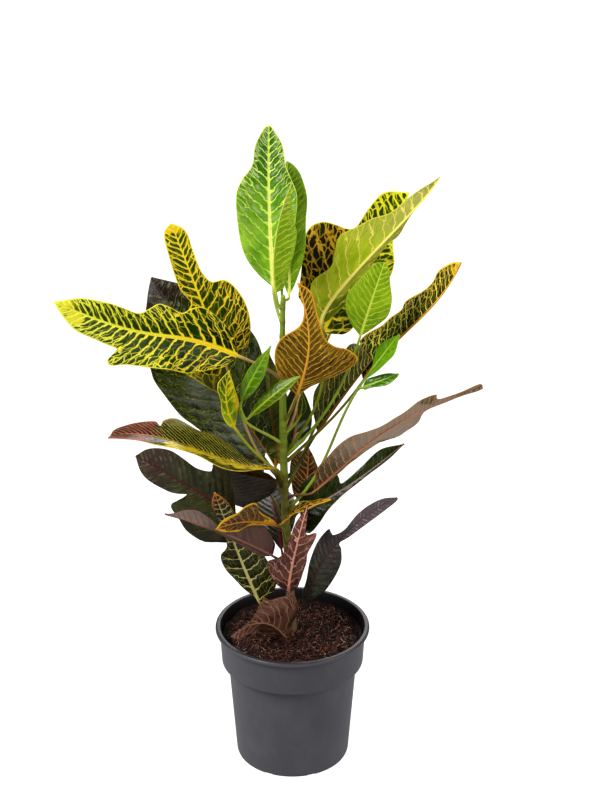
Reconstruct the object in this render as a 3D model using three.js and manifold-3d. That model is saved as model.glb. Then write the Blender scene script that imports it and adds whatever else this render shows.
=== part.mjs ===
// A croton in a round plastic nursery pot: pot, soil, one woody stem, and every leaf with its own stalk.
// Millimetres, +Z up. The origin is the middle of the pot's underside, and the front of the plant faces -Y.
import * as THREE from "three";
import { mergeVertices } from "three/addons/utils/BufferGeometryUtils.js";
import Module from "manifold-3d";

const wasm = await Module();
wasm.setup();

const V = (x = 0, y = 0, z = 0) => new THREE.Vector3(x, y, z);

// Pot: a 17 cm nursery pot with a rolled lip, a straight collar and a tapered wall.
const POT = {
  height: 160,
  lipRadius: 85,
  lipHeight: 4.5,
  collarTop: 80.6,
  collarFoot: 78.2,
  collarDrop: 42,
  step: 4,
  bodyTop: 71,
  bodyFoot: 62.6,
  wall: 1.8,
  footRounding: 4,
  sides: 40,
};
const FLOOR = { disc: 22, ringInner: 52, ringOuter: 59, recess: 3, thickness: 3 };
const DRAIN = { count: 8, width: 9, height: 5, inner: 50, outer: 70, start: 20 };

// Soil: fills the pot to a little under the lip, and stands in crumbly ridges of a few millimetres.
const SOIL = { top: 148, clearance: 0.3, rings: 7, swell: 2.2, holeRadius: 5.7, holeDepth: 26 };

// Stem: path and radius, rooted in a plain hole in the soil.
const STEM_PATH = [
  [0, 0, 124],
  [0, 0, 150],
  [-4, 1, 230],
  [-8, 1, 320],
  [-9.5, 0, 400],
  [-10, 0, 480],
  [-9, 0, 545],
];
const STEM_RADII = [[124, 5], [150, 4.8], [320, 4.2], [400, 3.9], [480, 3.2], [545, 2.4]];
const STEM_SIDES = 12;

// Leaves: blade thickness, midrib depth below the blade, stalk radius and the angle that a stalk leaves at.
// SWEEP is how far a side rib runs towards the tip for each millimetre out, and BACK_RIBS is how many ribs
// the plainer back leaves have.
const BLADE = 0.9;
const EDGE = 0.7;
const RIB_DEPTH = 1.3;
const STALK_RADIUS = 1.4;
const STALK_RISE = THREE.MathUtils.degToRad(45);
const SEAT_GAP = 0.3;
const SWEEP = 0.55;
const RIB_SPACING = 11;
const BACK_RIBS = 9;
const RING_POINTS = 10;
const CROSSED = [3, 4, 8, 9];

// Leaf outlines by habit, from base to tip: share of the length along the midrib, share of the half width.
const HABITS = {
  spear: [[0.1, 0.3], [0.25, 0.7], [0.45, 1], [0.65, 0.92], [0.85, 0.5], [0.95, 0.2]],
  spoon: [[0.07, 0.27], [0.18, 0.65], [0.3, 0.88], [0.48, 1], [0.6, 0.97], [0.71, 0.58], [0.8, 0.5],
    [0.9, 0.32]],
  oak: [[0.06, 0.2], [0.18, 0.65], [0.32, 0.97], [0.42, 1], [0.5, 0.8], [0.62, 0.38], [0.75, 0.42],
    [0.88, 0.36]],
  blunt: [[0.05, 0.25], [0.15, 0.62], [0.3, 0.93], [0.45, 1], [0.6, 0.93], [0.75, 0.7], [0.88, 0.4]],
};

// One row a leaf. "at" is the height on the stem where its stalk sits, or "from" is the leaf whose stalk it
// branches off and how far along. "spine" is the midrib from base to tip, through 3 or 4 points. "faces" is
// where the upper side looks. "left" and "right" are the half blades with the tip pointing away: a habit with
// its half width, or lobes as points of share along the midrib and millimetres out. "fold" lifts both halves,
// in degrees, and "wave" is the height of the edge's ripple, its count and its phase.
const LEAVES = [
  {"name": "crown_tall", "skin": "lime", "at": 516,
   "spine": [[-19, 14, 548], [-23, 30, 631], [-23, 40, 712]], "faces": [0, -1, 0.35],
   "left": [[0.09, 15], [0.2, 27], [0.33, 32], [0.55, 34], [0.65, 29], [0.75, 17], [0.87, 14], [0.97, 6]],
   "right": [[0.09, 11], [0.22, 21], [0.41, 27], [0.56, 29], [0.67, 23], [0.75, 18], [0.88, 14], [0.97, 5]]},
  {"name": "crown_back", "skin": "lime", "at": 536,
   "spine": [[-3, 16, 538], [-3, 34, 600], [-5, 50, 672]], "faces": [0.15, -1, 0.3],
   "left": ["spear", 18],
   "right": [[0.14, 8], [0.36, 16], [0.6, 18], [0.76, 19], [0.9, 14], [0.97, 7]]},
  {"name": "crown_young", "skin": "young", "at": 531, "fold": 50, "wave": [0.5, 2, 0],
    "spine": [[-16, -1, 548], [-16, -4, 605], [0, -6, 665]], "faces": [1, 0.35, 0.15],
    "left": [[0, 7], [0.16, 13], [0.39, 21], [0.61, 20], [0.7, 15]],
    "right": ["spear", 16]},
  {"name": "left_upper", "skin": "gold", "at": 336, "fold": 8,
    "spine": [[-70, 4, 470], [-91, 4, 532], [-122, 12, 618]], "faces": [0, -0.85, 0.5],
    "left": [[-0.24, 15], [-0.04, 27], [0.09, 45], [0.29, 47], [0.45, 33], [0.54, 11], [0.65, 16],
      [0.82, 15], [0.96, 11]],
    "right": [[0.04, 26], [0.23, 38], [0.4, 42], [0.52, 39], [0.61, 31], [0.63, 17], [0.72, 11],
      [0.83, 11], [0.94, 11]]},
  {"name": "left_long", "skin": "gold", "at": 454, "fold": 8,
    "spine": [[-55, -22, 487], [-111, -44, 515], [-155, -68, 532], [-228, -104, 576]],
    "faces": [0, -0.85, 0.5],
    "left": [[0, 1], [0.02, 8], [0.07, 20], [0.24, 34], [0.42, 35], [0.67, 35], [0.76, 40],
      [0.78, 35], [0.74, 25], [0.75, 22], [0.84, 20], [0.92, 18], [0.97, 9]],
    "right": [[0.03, 11], [0.08, 22], [0.17, 32], [0.24, 35], [0.3, 31], [0.36, 25], [0.46, 30],
      [0.53, 31], [0.6, 24], [0.67, 18], [0.77, 19], [0.84, 19], [0.93, 14]]},
  {"name": "left_dark", "skin": "night", "at": 364,
   "spine": [[-28, 26, 357], [-90, 48, 450], [-148, 62, 543]], "faces": [0.1, -0.8, 0.6],
   "left": [[-0.1, 12], [-0.04, 26], [0.08, 36], [0.2, 44], [0.3, 51], [0.39, 58], [0.56, 61],
      [0.64, 57], [0.79, 43], [0.93, 17]],
   "right": [[0.09, 19], [0.24, 37], [0.41, 55], [0.53, 58], [0.69, 50], [0.82, 36], [0.91, 19]]},
  {"name": "left_flat", "skin": "ember", "at": 338, "fold": 12,
   "spine": [[-21, -16, 357], [-73, -22, 371], [-129, -20, 392], [-191, -8, 391]], "faces": [-0.1, 0, 1],
   "left": [[0.06, 8], [0.18, 26], [0.32, 38], [0.42, 40], [0.5, 34], [0.62, 22], [0.75, 25],
      [0.88, 27], [0.97, 19]],
   "right": [[0.08, 10], [0.24, 24], [0.4, 32], [0.52, 34], [0.66, 38], [0.73, 28], [0.74, 17],
      [0.79, 24], [0.98, 15]]},
  {"name": "left_purple", "skin": "plum", "at": 276, "fold": 14,
   "spine": [[-60, -22, 307], [-106, -34, 344], [-162, -40, 383]], "faces": [-0.15, -1, 0.12],
   "left": [[-0.19, 27], [-0.06, 35], [0.11, 43], [0.3, 43], [0.45, 34], [0.56, 26], [0.48, 8],
      [0.63, 16], [0.8, 16], [0.91, 11]],
   "right": [[0.29, 36], [0.43, 46], [0.51, 43], [0.47, 32], [0.57, 25], [0.72, 28], [0.84, 27],
      [0.95, 16]]},
  {"name": "left_mauve", "skin": "mauve", "at": 230, "fold": 6,
   "spine": [[-21, -38, 265], [-75, -66, 308], [-131, -74, 333]], "faces": [0, 0.9, -0.4],
   "left": [[-0.02, 9], [0.06, 16], [0.14, 22], [0.24, 25], [0.33, 21], [0.42, 11], [0.52, 6],
      [0.63, 10], [0.74, 13], [0.83, 10], [0.93, 3]],
   "right": [[0.03, 3], [0.11, 6], [0.33, 4], [0.55, 2], [0.76, 1], [0.88, 1]]},
  {"name": "left_low", "skin": "ember", "at": 165, "fold": 12,
    "spine": [[-37, -12, 196], [-59, -28, 267], [-80, -60, 351]], "faces": [-0.1, -0.95, 0.35],
    "left": [[0.09, 5], [0.21, 12], [0.37, 19], [0.51, 18], [0.57, 8], [0.74, 7], [0.91, 7]],
    "right": [[0.01, 17], [0.17, 29], [0.38, 28], [0.53, 23], [0.71, 19], [0.91, 10]]},
  {"name": "left_brown", "skin": "brown", "at": 329, "fold": 6,
   "spine": [[-16, -6, 339], [-50, 2, 342], [-85, 6, 350]], "faces": [0, 0.8, 0.65],
   "left": ["blunt", 16],
   "right": [[0.22, 54], [0.4, 92], [0.59, 112], [0.75, 85], [0.91, 35]]},
  {"name": "front_gold", "skin": "ember", "at": 263, "fold": 4,
   "spine": [[-14, -24, 293], [-46, -64, 319], [-78, -88, 322]], "faces": [0, 1, 0.15],
   "left": [[0.26, 9], [0.44, 15], [0.52, 24], [0.64, 22], [0.73, 13], [0.89, 6]],
   "right": [[0.1, 2], [0.25, 4], [0.4, 9], [0.55, 13], [0.72, 13], [0.9, 6]]},
  {"name": "front_tail", "skin": "ember", "from": ["front_gold", 0.97], "fold": 4,
    "spine": [[-9, -30, 301], [10, -32, 318], [41, -32, 329]], "faces": [0.1, 0.05, 1],
    "left": [[-0.02, 39], [0.45, 16], [0.7, 10]],
    "right": ["spear", 9]},
  {"name": "foot_mauve", "skin": "mauve", "at": 182,
   "spine": [[-4, -22, 212], [1, -42, 261], [16, -48, 329]], "faces": [0, 1, 0.1],
   "left": [[0.08, 10], [0.33, 13], [0.47, 15], [0.59, 14], [0.79, 18], [0.78, 7], [0.93, 3]],
   "right": [[0.07, 8], [0.18, 16], [0.32, 24], [0.42, 26], [0.53, 14], [0.69, 9], [0.85, 7]]},
  {"name": "foot_front", "skin": "rust", "at": 155, "fold": 6,
    "spine": [[-7, -16, 151], [-33, -34, 181], [-66, -46, 170]], "faces": [0, 0.95, 0.3],
    "left": [[0.08, 11], [0.25, 26], [0.39, 50], [0.45, 41], [0.52, 32], [0.57, 38], [0.59, 25],
      [0.67, 8], [0.86, 1]],
    "right": [[0.04, 7], [0.12, 16], [0.58, 20], [0.93, 10]]},
  {"name": "centre_brown", "skin": "amber", "at": 408, "fold": 6,
    "spine": [[5, -14, 439], [15, -22, 478], [17, -28, 518], [6, -26, 568]], "faces": [0, 1, 0.15],
    "left": [[0.05, 5], [0.12, 12], [0.2, 24], [0.32, 43], [0.41, 52], [0.48, 40], [0.51, 26],
      [0.59, 16], [0.77, 11], [0.92, 10]],
    "right": [[0.04, 11], [0.19, 28], [0.38, 34], [0.58, 29], [0.7, 9], [0.81, 2], [0.92, 1]]},
  {"name": "right_olive", "skin": "olive", "at": 369, "fold": 30,
   "spine": [[31, 18, 506], [57, 20, 553], [113, 22, 616], [149, 24, 663]], "faces": [-0.42, 0.77, 0.02],
   "left": [[-0.02, 25], [0.24, 39], [0.4, 27], [0.54, 12], [0.6, 16], [0.68, 5], [0.78, 1]],
   "right": [[0.09, 13], [0.15, 19], [0.23, 28], [0.33, 22], [0.38, 27], [0.45, 37], [0.53, 31],
      [0.59, 26], [0.67, 15], [0.82, 10]]},
  {"name": "right_gold", "skin": "gold", "at": 387, "fold": 8,
   "spine": [[32, 48, 486], [73, 64, 552], [122, 76, 631]], "faces": [0, -0.85, 0.5],
   "left": [[0.11, 40], [0.29, 53], [0.41, 63], [0.53, 69], [0.61, 61], [0.64, 46], [0.65, 36],
      [0.69, 28], [0.81, 27], [0.93, 22]],
   "right": [[0.04, 17], [0.12, 25], [0.34, 30], [0.53, 31], [0.63, 27], [0.72, 15], [0.8, 9], [0.91, 5]]},
  {"name": "right_spoon", "skin": "young", "at": 366, "wave": [0.8, 2, 0],
    "spine": [[70, -10, 504], [80, -16, 542], [93, -16, 586]], "faces": [-0.1, -0.9, 0.45],
    "left": [[0.16, 13], [0.35, 23], [0.55, 25], [0.79, 16], [0.96, 8]],
    "right": [[0.25, 13], [0.45, 21], [0.63, 20], [0.78, 14], [0.96, 6]]},
  {"name": "right_long", "skin": "ember", "at": 358, "fold": 34,
   "spine": [[74, 6, 448], [110, -2, 498], [143, -10, 537], [170, -22, 588]], "faces": [-0.8, 0, 0.6],
   "left": [[0.11, 35], [0.16, 35], [0.26, 31], [0.34, 30], [0.45, 24], [0.52, 27], [0.75, 22],
      [0.84, 22], [0.95, 12]],
   "right": [[0.11, 1], [0.24, 1], [0.4, 1], [0.58, 1], [0.83, 1]]},
  {"name": "right_deep", "skin": "night", "at": 338, "fold": 34,
   "spine": [[27, 14, 386], [56, 10, 432], [83, 4, 472]], "faces": [-0.75, 0, 0.6],
   "left": [[0.03, 9], [0.16, 31], [0.27, 40], [0.51, 39], [0.82, 37], [0.96, 26]],
   "right": [[0.02, 1], [0.19, 1], [0.4, 1], [0.69, 1]]},
  {"name": "right_broad", "skin": "mauve", "at": 315, "fold": 8,
   "spine": [[23, -12, 328], [71, -38, 389], [115, -56, 431], [190, -84, 478]], "faces": [-0.2, 0.75, 0.62],
   "left": [[0.13, 7], [0.33, 9], [0.43, 19], [0.49, 35], [0.66, 24], [0.77, 3], [0.89, 5], [0.96, 5]],
   "right": [[0.06, 12], [0.14, 24], [0.25, 26], [0.41, 23], [0.55, 12], [0.71, 11], [0.81, 18],
      [0.87, 19], [0.86, 8], [1, 10]]},
  {"name": "right_dark", "skin": "night", "at": 283, "fold": 16,
    "spine": [[8, 0, 298], [56, -2, 327], [119, 4, 377]], "faces": [-0.3, -0.8, 0.5],
    "left": [[0.11, 22], [0.26, 30], [0.42, 22], [0.51, 16], [0.5, 6], [0.69, 9], [0.86, 11]],
    "right": [[-0.01, 21], [0.06, 28], [0.17, 21], [0.28, 13], [0.45, 6], [0.67, 3], [0.88, 3]]},
  {"name": "right_low", "skin": "plum", "at": 160, "fold": 12,
   "spine": [[13, 16, 168], [19, 10, 197], [48, -12, 266], [110, -48, 339]], "faces": [-0.1, -0.75, 0.6],
   "left": [[0.21, 5], [0.28, 7], [0.4, 8], [0.53, 14], [0.62, 18], [0.69, 17], [0.68, 10], [0.74, 4],
      [0.84, 7], [0.94, 6]],
   "right": [[0.27, 8], [0.44, 19], [0.61, 19], [0.67, 9], [0.68, 2], [0.75, 6], [0.88, 8], [0.98, 4]]},
  {"name": "rear_orange", "skin": "night", "at": 298, "fold": 14,
   "spine": [[12, 26, 292], [16, 36, 319], [18, 48, 351]], "faces": [-0.1, -0.9, 0.4],
   "left": [[0.08, 5], [0.25, 14], [0.45, 17], [0.65, 20], [0.85, 18], [0.95, 10]],
   "right": [[0.1, 6], [0.3, 14], [0.5, 17], [0.7, 12], [0.9, 5]]},
  {"name": "rear_left", "skin": "night", "at": 340, "fold": 12,
   "spine": [[-12, 18, 345], [-22, 56, 385], [-25, 86, 446]], "faces": [0.1, -0.8, 0.6],
   "left": ["blunt", 14],
   "right": ["blunt", 22]},
  {"name": "rear_right", "skin": "night", "at": 376, "fold": 12,
   "spine": [[-1, 18, 363], [5, 36, 392], [4, 48, 430]], "faces": [-0.1, -0.8, 0.6],
   "left": ["blunt", 18],
   "right": ["blunt", 17]},
  {"name": "young_left", "skin": "lime", "at": 380, "fold": 12, "wave": [0.6, 2, 0],
    "spine": [[-52, -30, 439], [-41, -32, 465], [-21, -34, 503]], "faces": [-0.3, -0.9, 0.4],
    "left": [[0.25, 6], [0.56, 8], [0.8, 5]],
    "right": [[0.31, 8], [0.62, 11], [0.83, 7]]},
  {"name": "young_strap", "skin": "young", "from": ["young_left", 0.9], "wave": [0.4, 2, 0],
    "spine": [[-46, -34, 422], [-19, -36, 449], [9, -34, 470]], "faces": [0.6, -0.2, 0.85],
    "left": ["spear", 9],
    "right": ["spear", 9]},
  {"name": "young_yellow", "skin": "gold", "at": 343, "fold": 24, "wave": [0.6, 2, 0],
    "spine": [[-59, -26, 408], [-68, -32, 440], [-64, -34, 476]], "faces": [0.75, -0.6, 0.4],
    "left": [[0.24, 13], [0.62, 17], [0.92, 27]],
    "right": [[0.17, 9], [0.44, 14], [0.74, 10]]},
  {"name": "shoot_upper", "skin": "lime", "at": 303, "fold": 16, "wave": [0.6, 2, 0],
    "spine": [[75, -6, 454], [91, -10, 479], [110, -12, 507]], "faces": [-0.35, -0.5, 0.8],
    "left": [[0.28, 2], [0.57, 10], [0.78, 8]],
    "right": [[0.38, 11], [0.61, 14], [0.8, 14]]},
  {"name": "shoot_lower", "skin": "lime", "from": ["shoot_upper", 0.93], "fold": 14, "wave": [0.6, 2, 0],
    "spine": [[73, -8, 446], [91, -12, 455], [110, -14, 464]], "faces": [-0.1, -0.7, 0.7],
    "left": [[0.15, 6], [0.34, 7], [0.74, 5]],
    "right": [[0.01, 4], [0.26, 4], [0.63, 8], [0.92, 4]]},
  {"name": "curl_small", "skin": "young", "at": 392, "fold": 20, "wave": [0.2, 1, 0],
    "spine": [[9, -8, 416], [11, -12, 428], [10, -12, 441]], "faces": [-0.3, -0.9, 0.3],
    "left": ["blunt", 5],
    "right": ["blunt", 5]},
  {"name": "back_west", "skin": "night", "at": 322, "wave": [2, 2.5, 0],
    "spine": [[-46, 62, 356], [-88, 116, 392], [-128, 168, 412]], "faces": [0.2, 0.6, 0.8],
    "left": ["oak", 30],
    "right": ["oak", 30]},
  {"name": "back_east", "skin": "gold", "at": 398, "wave": [2, 2.5, 0],
    "spine": [[24, 62, 448], [56, 110, 490], [84, 156, 528]], "faces": [-0.3, 0.5, 0.8],
    "left": ["spoon", 28],
    "right": ["spoon", 28]},
  {"name": "back_crown", "skin": "lime", "at": 500, "wave": [2, 2.5, 0],
    "spine": [[-11, 26, 548], [-13, 70, 600], [-6, 110, 640]], "faces": [0, 0.7, 0.5],
    "left": ["spear", 22],
    "right": ["spear", 22]},
  {"name": "back_centre", "skin": "amber", "at": 300, "wave": [2, 2.5, 0],
   "spine": [[-18, 40, 330], [-24, 104, 366], [-30, 164, 392]], "faces": [0, 0.6, 0.8],
   "left": ["oak", 24],
   "right": ["oak", 24]},
  {"name": "back_foot", "skin": "plum", "at": 196, "wave": [2, 2.5, 0],
    "spine": [[-12, 44, 228], [-24, 110, 254], [-36, 168, 254]], "faces": [0, 0.3, 1],
    "left": ["spoon", 26],
    "right": ["spoon", 26]},
  {"name": "back_right", "skin": "night", "at": 256, "wave": [2, 2.5, 0],
   "spine": [[18, 42, 280], [30, 88, 268], [38, 130, 238]], "faces": [0, 0.3, 1],
   "left": ["spear", 18],
   "right": ["spear", 18]},
  {"name": "back_low", "skin": "ember", "at": 276, "wave": [2, 2.5, 0],
    "spine": [[-30, 52, 300], [-62, 96, 308], [-90, 138, 300]], "faces": [0, 0.3, 1],
    "left": ["spear", 22],
    "right": ["spear", 22]},
  {"name": "back_high", "skin": "ember", "at": 326, "wave": [2, 2.5, 0],
    "spine": [[36, 48, 398], [62, 96, 414], [86, 142, 420]], "faces": [-0.2, 0.4, 0.9],
    "left": ["spoon", 24],
    "right": ["spoon", 24]},
];
const DEFAULTS = { fold: 10, wave: [1.5, 2.5, 0] };

const COLOURS = {
  lime: "#6fa83a",
  young: "#7fae2f",
  gold: "#5f7d1e",
  ember: "#5a5a22",
  olive: "#8f9140",
  amber: "#7a4f22",
  brown: "#4b3a26",
  mauve: "#6d5158",
  rust: "#7a4d45",
  plum: "#3a3436",
  night: "#24322a",
};

// Smooth line through the points, as samples evenly spread over its stretches.
function smoothLine(points, perStretch) {
  const ends = [
    points[0].map((v, k) => 2 * v - points[1][k]),
    ...points,
    points[points.length - 1].map((v, k) => 2 * v - points[points.length - 2][k]),
  ];
  const line = [];
  for (let i = 0; i < points.length - 1; i++) {
    const [a, b, c, d] = ends.slice(i, i + 4);
    for (let k = 0; k < perStretch; k++) {
      const t = k / perStretch;
      line.push(b.map((_, m) => 0.5 * (2 * b[m] + (c[m] - a[m]) * t
        + (2 * a[m] - 5 * b[m] + 4 * c[m] - d[m]) * t * t + (3 * b[m] - a[m] - 3 * c[m] + d[m]) * t ** 3)));
    }
  }
  line.push(points[points.length - 1]);
  return line;
}

// Value at x of the broken line through xs and ys.
function interpolate(x, xs, ys) {
  if (x <= xs[0]) return ys[0];
  for (let i = 1; i < xs.length; i++) {
    if (x <= xs[i]) {
      const span = xs[i] - xs[i - 1];
      return span > 0 ? ys[i - 1] + ((ys[i] - ys[i - 1]) * (x - xs[i - 1])) / span : ys[i];
    }
  }
  return ys[ys.length - 1];
}

const stemRadius = (z) => interpolate(z, STEM_RADII.map((r) => r[0]), STEM_RADII.map((r) => r[1]));
const stemAt = (z) => {
  const heights = STEM_PATH.map((p) => p[2]);
  const [x, y] = [0, 1].map((axis) => interpolate(z, heights, STEM_PATH.map((p) => p[axis])));
  return V(x, y, z);
};

// Midrib curve through 3 or 4 points.
function spineCurve(points) {
  const p = points.map((q) => V(...q));
  const sum = (...pairs) => pairs.reduce((total, [weight, v]) => total.addScaledVector(v, weight), V());
  if (p.length === 3) {
    return new THREE.QuadraticBezierCurve3(p[0], sum([2, p[1]], [-0.5, p[0]], [-0.5, p[2]]), p[2]);
  }
  const second = sum([-5 / 6, p[0]], [3, p[1]], [-1.5, p[2]], [1 / 3, p[3]]);
  const third = sum([1 / 3, p[0]], [-1.5, p[1]], [3, p[2]], [-5 / 6, p[3]]);
  return new THREE.CubicBezierCurve3(p[0], second, third, p[3]);
}

// A half blade's margin as three matching lists: where its rib leaves the midrib, how far along it ends, and
// how far out.
function marginOf(half, length) {
  const inner = typeof half[0] === "string" ? HABITS[half[0]].map(([a, o]) => [a, o * half[1]]) : half;
  const start = inner[0][0] > (SWEEP * inner[0][1]) / length ? [[0, 0]] : [];
  const line = smoothLine([...start, ...inner, [1, 0]], 24);
  const along = line.map((p) => p[0]);
  const out = line.map((p) => Math.max(p[1], 0));
  let reach = 0;
  const root = along.map((a, i) => (reach = Math.max(reach, a - (SWEEP * out[i]) / length)));
  const last = root[root.length - 1];
  return { root: root.map((r, i) => 0.98 * (r / last) + (0.02 * i) / (root.length - 1)), along, out };
}

// Rib roots from base to tip, closer together where the margins run far out.
function ribRoots(margins, length, count) {
  const steps = 200;
  const shares = margins.map(({ root, along, out }) => {
    const run = [0];
    for (let i = 1; i < root.length; i++) {
      run.push(run[i - 1] + Math.hypot((along[i] - along[i - 1]) * length, out[i] - out[i - 1]));
    }
    return { root, run: run.map((r) => r / run[run.length - 1]) };
  });
  const grid = [...Array(steps + 1).keys()].map((k) => k / steps);
  const progress = grid.map((r) => (r + shares.reduce((s, m) => s + interpolate(r, m.root, m.run), 0)) / 3);
  return [...Array(count + 1).keys()].map((k) => interpolate(k / count, progress, grid));
}

// A leaf's own frame and shape, as functions of the place along the midrib.
function shapeOf(row) {
  const leaf = { ...DEFAULTS, ...row };
  const curve = spineCurve(leaf.spine);
  const length = curve.getLength();
  const facing = V(...leaf.faces).normalize();
  const fold = THREE.MathUtils.degToRad(leaf.fold);
  const [waveHeight, waveCount, wavePhase] = leaf.wave;
  const margins = [marginOf(leaf.left, length), marginOf(leaf.right, length)];

  const frame = (place) => {
    const inside = THREE.MathUtils.clamp(place, 0, 1);
    const tangent = curve.getTangent(inside);
    const normal = facing.clone().addScaledVector(tangent, -facing.dot(tangent)).normalize();
    return { point: curve.getPoint(inside), tangent, normal, side: tangent.clone().cross(normal) };
  };
  const onBlade = (hand, root, share) => {
    const margin = margins[hand];
    const end = interpolate(root, margin.root, margin.along);
    const reach = Math.max(interpolate(root, margin.root, margin.out), 1);
    const place = root + (end - root) * share ** 1.25;
    const out = reach * share;
    const at = frame(place);
    at.point.addScaledVector(at.tangent, (place - THREE.MathUtils.clamp(place, 0, 1)) * length);
    const ripple = waveHeight * share ** 2 * Math.min(1, reach / 12)
      * Math.sin(2 * Math.PI * (waveCount * place + wavePhase + 0.37 * hand));
    const sign = hand === 0 ? -1 : 1;
    const [level, lift] = [Math.cos(fold), Math.sin(fold)];
    const across = at.side.clone().multiplyScalar(sign * level).addScaledVector(at.normal, lift);
    const face = at.normal.clone().multiplyScalar(level).addScaledVector(at.side, -sign * lift);
    return { point: at.point.addScaledVector(across, out).addScaledVector(at.normal, ripple), face };
  };
  return { leaf, curve, length, margins, frame, onBlade };
}

// Points round the blade where the ribs of one root end, from the middle of the upper side to the right.
function bladeRing(shape, root) {
  const { point, normal } = shape.frame(root);
  const depth = RIB_DEPTH * (1 - 0.75 * root);
  const ring = [point.clone().addScaledVector(normal, BLADE / 2)];
  const add = (hand, share, thickness, up) => {
    const { point: p, face } = shape.onBlade(hand, root, share);
    ring.push(p.addScaledVector(face, (up * thickness) / 2));
  };
  add(1, 0.5, BLADE, 1);
  add(1, 1, EDGE, 1);
  add(1, 1, EDGE, -1);
  add(1, 0.5, BLADE, -1);
  ring.push(point.clone().addScaledVector(normal, -BLADE / 2 - depth));
  add(0, 0.5, BLADE, -1);
  add(0, 1, EDGE, -1);
  add(0, 1, EDGE, 1);
  add(0, 0.5, BLADE, 1);
  return ring;
}

// The stalk's middle line, from its seat on the stem, or inside another stalk, to the base of the blade.
function stalkCurve(shape, stalks) {
  const { leaf } = shape;
  const base = V(...leaf.spine[0]);
  const arrive = shape.frame(0).tangent;
  let seat;
  let leave;
  let outward = null;
  if (leaf.from) {
    const parent = stalks.get(leaf.from[0]).curve;
    seat = parent.getPoint(leaf.from[1]);
    leave = parent.getTangent(leaf.from[1]);
  } else {
    const centre = stemAt(leaf.at);
    outward = base.clone().sub(centre).setZ(0).normalize();
    seat = centre.addScaledVector(outward, stemRadius(leaf.at) + SEAT_GAP);
    leave = outward.clone().multiplyScalar(Math.cos(STALK_RISE)).add(V(0, 0, Math.sin(STALK_RISE)));
  }
  const pull = 0.38 * base.distanceTo(seat);
  const curve = new THREE.CubicBezierCurve3(
    seat,
    seat.clone().addScaledVector(leave, pull),
    base.clone().addScaledVector(arrive, -pull),
    base,
  );
  return { curve, outward };
}

// Points round the stalk. The first ring stands upright against the stem.
function stalkRings(shape, stalk, count) {
  const rings = [];
  let normal = shape.frame(0).normal;
  for (let i = count - 1; i >= 0; i--) {
    const t = i / count;
    const along = i === 0 && stalk.outward ? stalk.outward.clone() : stalk.curve.getTangent(t);
    normal = normal.clone().addScaledVector(along, -normal.dot(along)).normalize();
    const side = along.clone().cross(normal);
    const centre = stalk.curve.getPoint(t);
    const radius = STALK_RADIUS * (1 + 0.25 * (1 - t) ** 4);
    rings.unshift([...Array(RING_POINTS).keys()].map((k) => {
      const turn = (2 * Math.PI * k) / RING_POINTS;
      const point = centre.clone().addScaledVector(normal, radius * Math.cos(turn));
      return point.addScaledVector(side, radius * Math.sin(turn));
    }));
  }
  return rings;
}

// Closed skin over a run of rings with equal counts of points. Its four-sided patches are split along one
// diagonal, or along the other for the places round the ring that "crossed" lists, so a thin blade has alike
// halves.
function loft(rings, crossed = []) {
  const count = rings[0].length;
  const positions = rings.flat().flatMap((p) => [p.x, p.y, p.z]);
  const index = [];
  for (let r = 0; r < rings.length - 1; r++) {
    for (let k = 0; k < count; k++) {
      const a = r * count + k;
      const b = r * count + ((k + 1) % count);
      if (crossed.includes(k)) index.push(a, b, a + count, b, b + count, a + count);
      else index.push(a, b, b + count, a, b + count, a + count);
    }
  }
  const last = (rings.length - 1) * count;
  for (let k = 1; k < count - 1; k++) {
    index.push(0, k + 1, k, last, last + k, last + k + 1);
  }
  const geometry = new THREE.BufferGeometry();
  geometry.setAttribute("position", new THREE.Float32BufferAttribute(positions, 3));
  geometry.setIndex(index);
  return geometry;
}

// Turns every face round where a closed skin came out facing inwards.
function facingOut(geometry) {
  const p = geometry.attributes.position;
  const index = geometry.index.array;
  const corner = (i) => V(p.getX(i), p.getY(i), p.getZ(i));
  let volume = 0;
  for (let i = 0; i < index.length; i += 3) {
    volume += corner(index[i]).dot(corner(index[i + 1]).cross(corner(index[i + 2])));
  }
  if (volume < 0) geometry.setIndex([...index].reverse());
  return geometry;
}

// Closed geometry as a solid that can be joined and cut, and such a solid as geometry.
function solid(geometry) {
  const bare = geometry.clone();
  bare.deleteAttribute("normal");
  bare.deleteAttribute("uv");
  const merged = mergeVertices(bare, 1e-4);
  const triVerts = new Uint32Array(merged.index.array);
  const vertProperties = new Float32Array(merged.attributes.position.array);
  return new wasm.Manifold(new wasm.Mesh({ numProp: 3, vertProperties, triVerts }));
}
function geometryOf(body) {
  const mesh = body.getMesh();
  const geometry = new THREE.BufferGeometry();
  geometry.setAttribute("position", new THREE.Float32BufferAttribute(mesh.vertProperties, 3));
  geometry.setIndex([...mesh.triVerts]);
  geometry.computeVertexNormals();
  return geometry;
}

// A lathe about +Z from a profile of [radius, height], given upwards on the outside.
function turned(profile, sides) {
  const points = profile.map(([radius, height]) => new THREE.Vector2(radius, height));
  return new THREE.LatheGeometry(points, sides).rotateX(Math.PI / 2);
}

const collarFootHeight = POT.height - POT.collarDrop;
const stepFootHeight = collarFootHeight - POT.step;
const wallRadius = (z) => {
  const heights = [0, stepFootHeight, collarFootHeight, POT.height];
  return interpolate(z, heights, [POT.bodyFoot, POT.bodyTop, POT.collarFoot, POT.collarTop]);
};
const innerRadius = (z) => wallRadius(z) - POT.wall;

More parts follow.
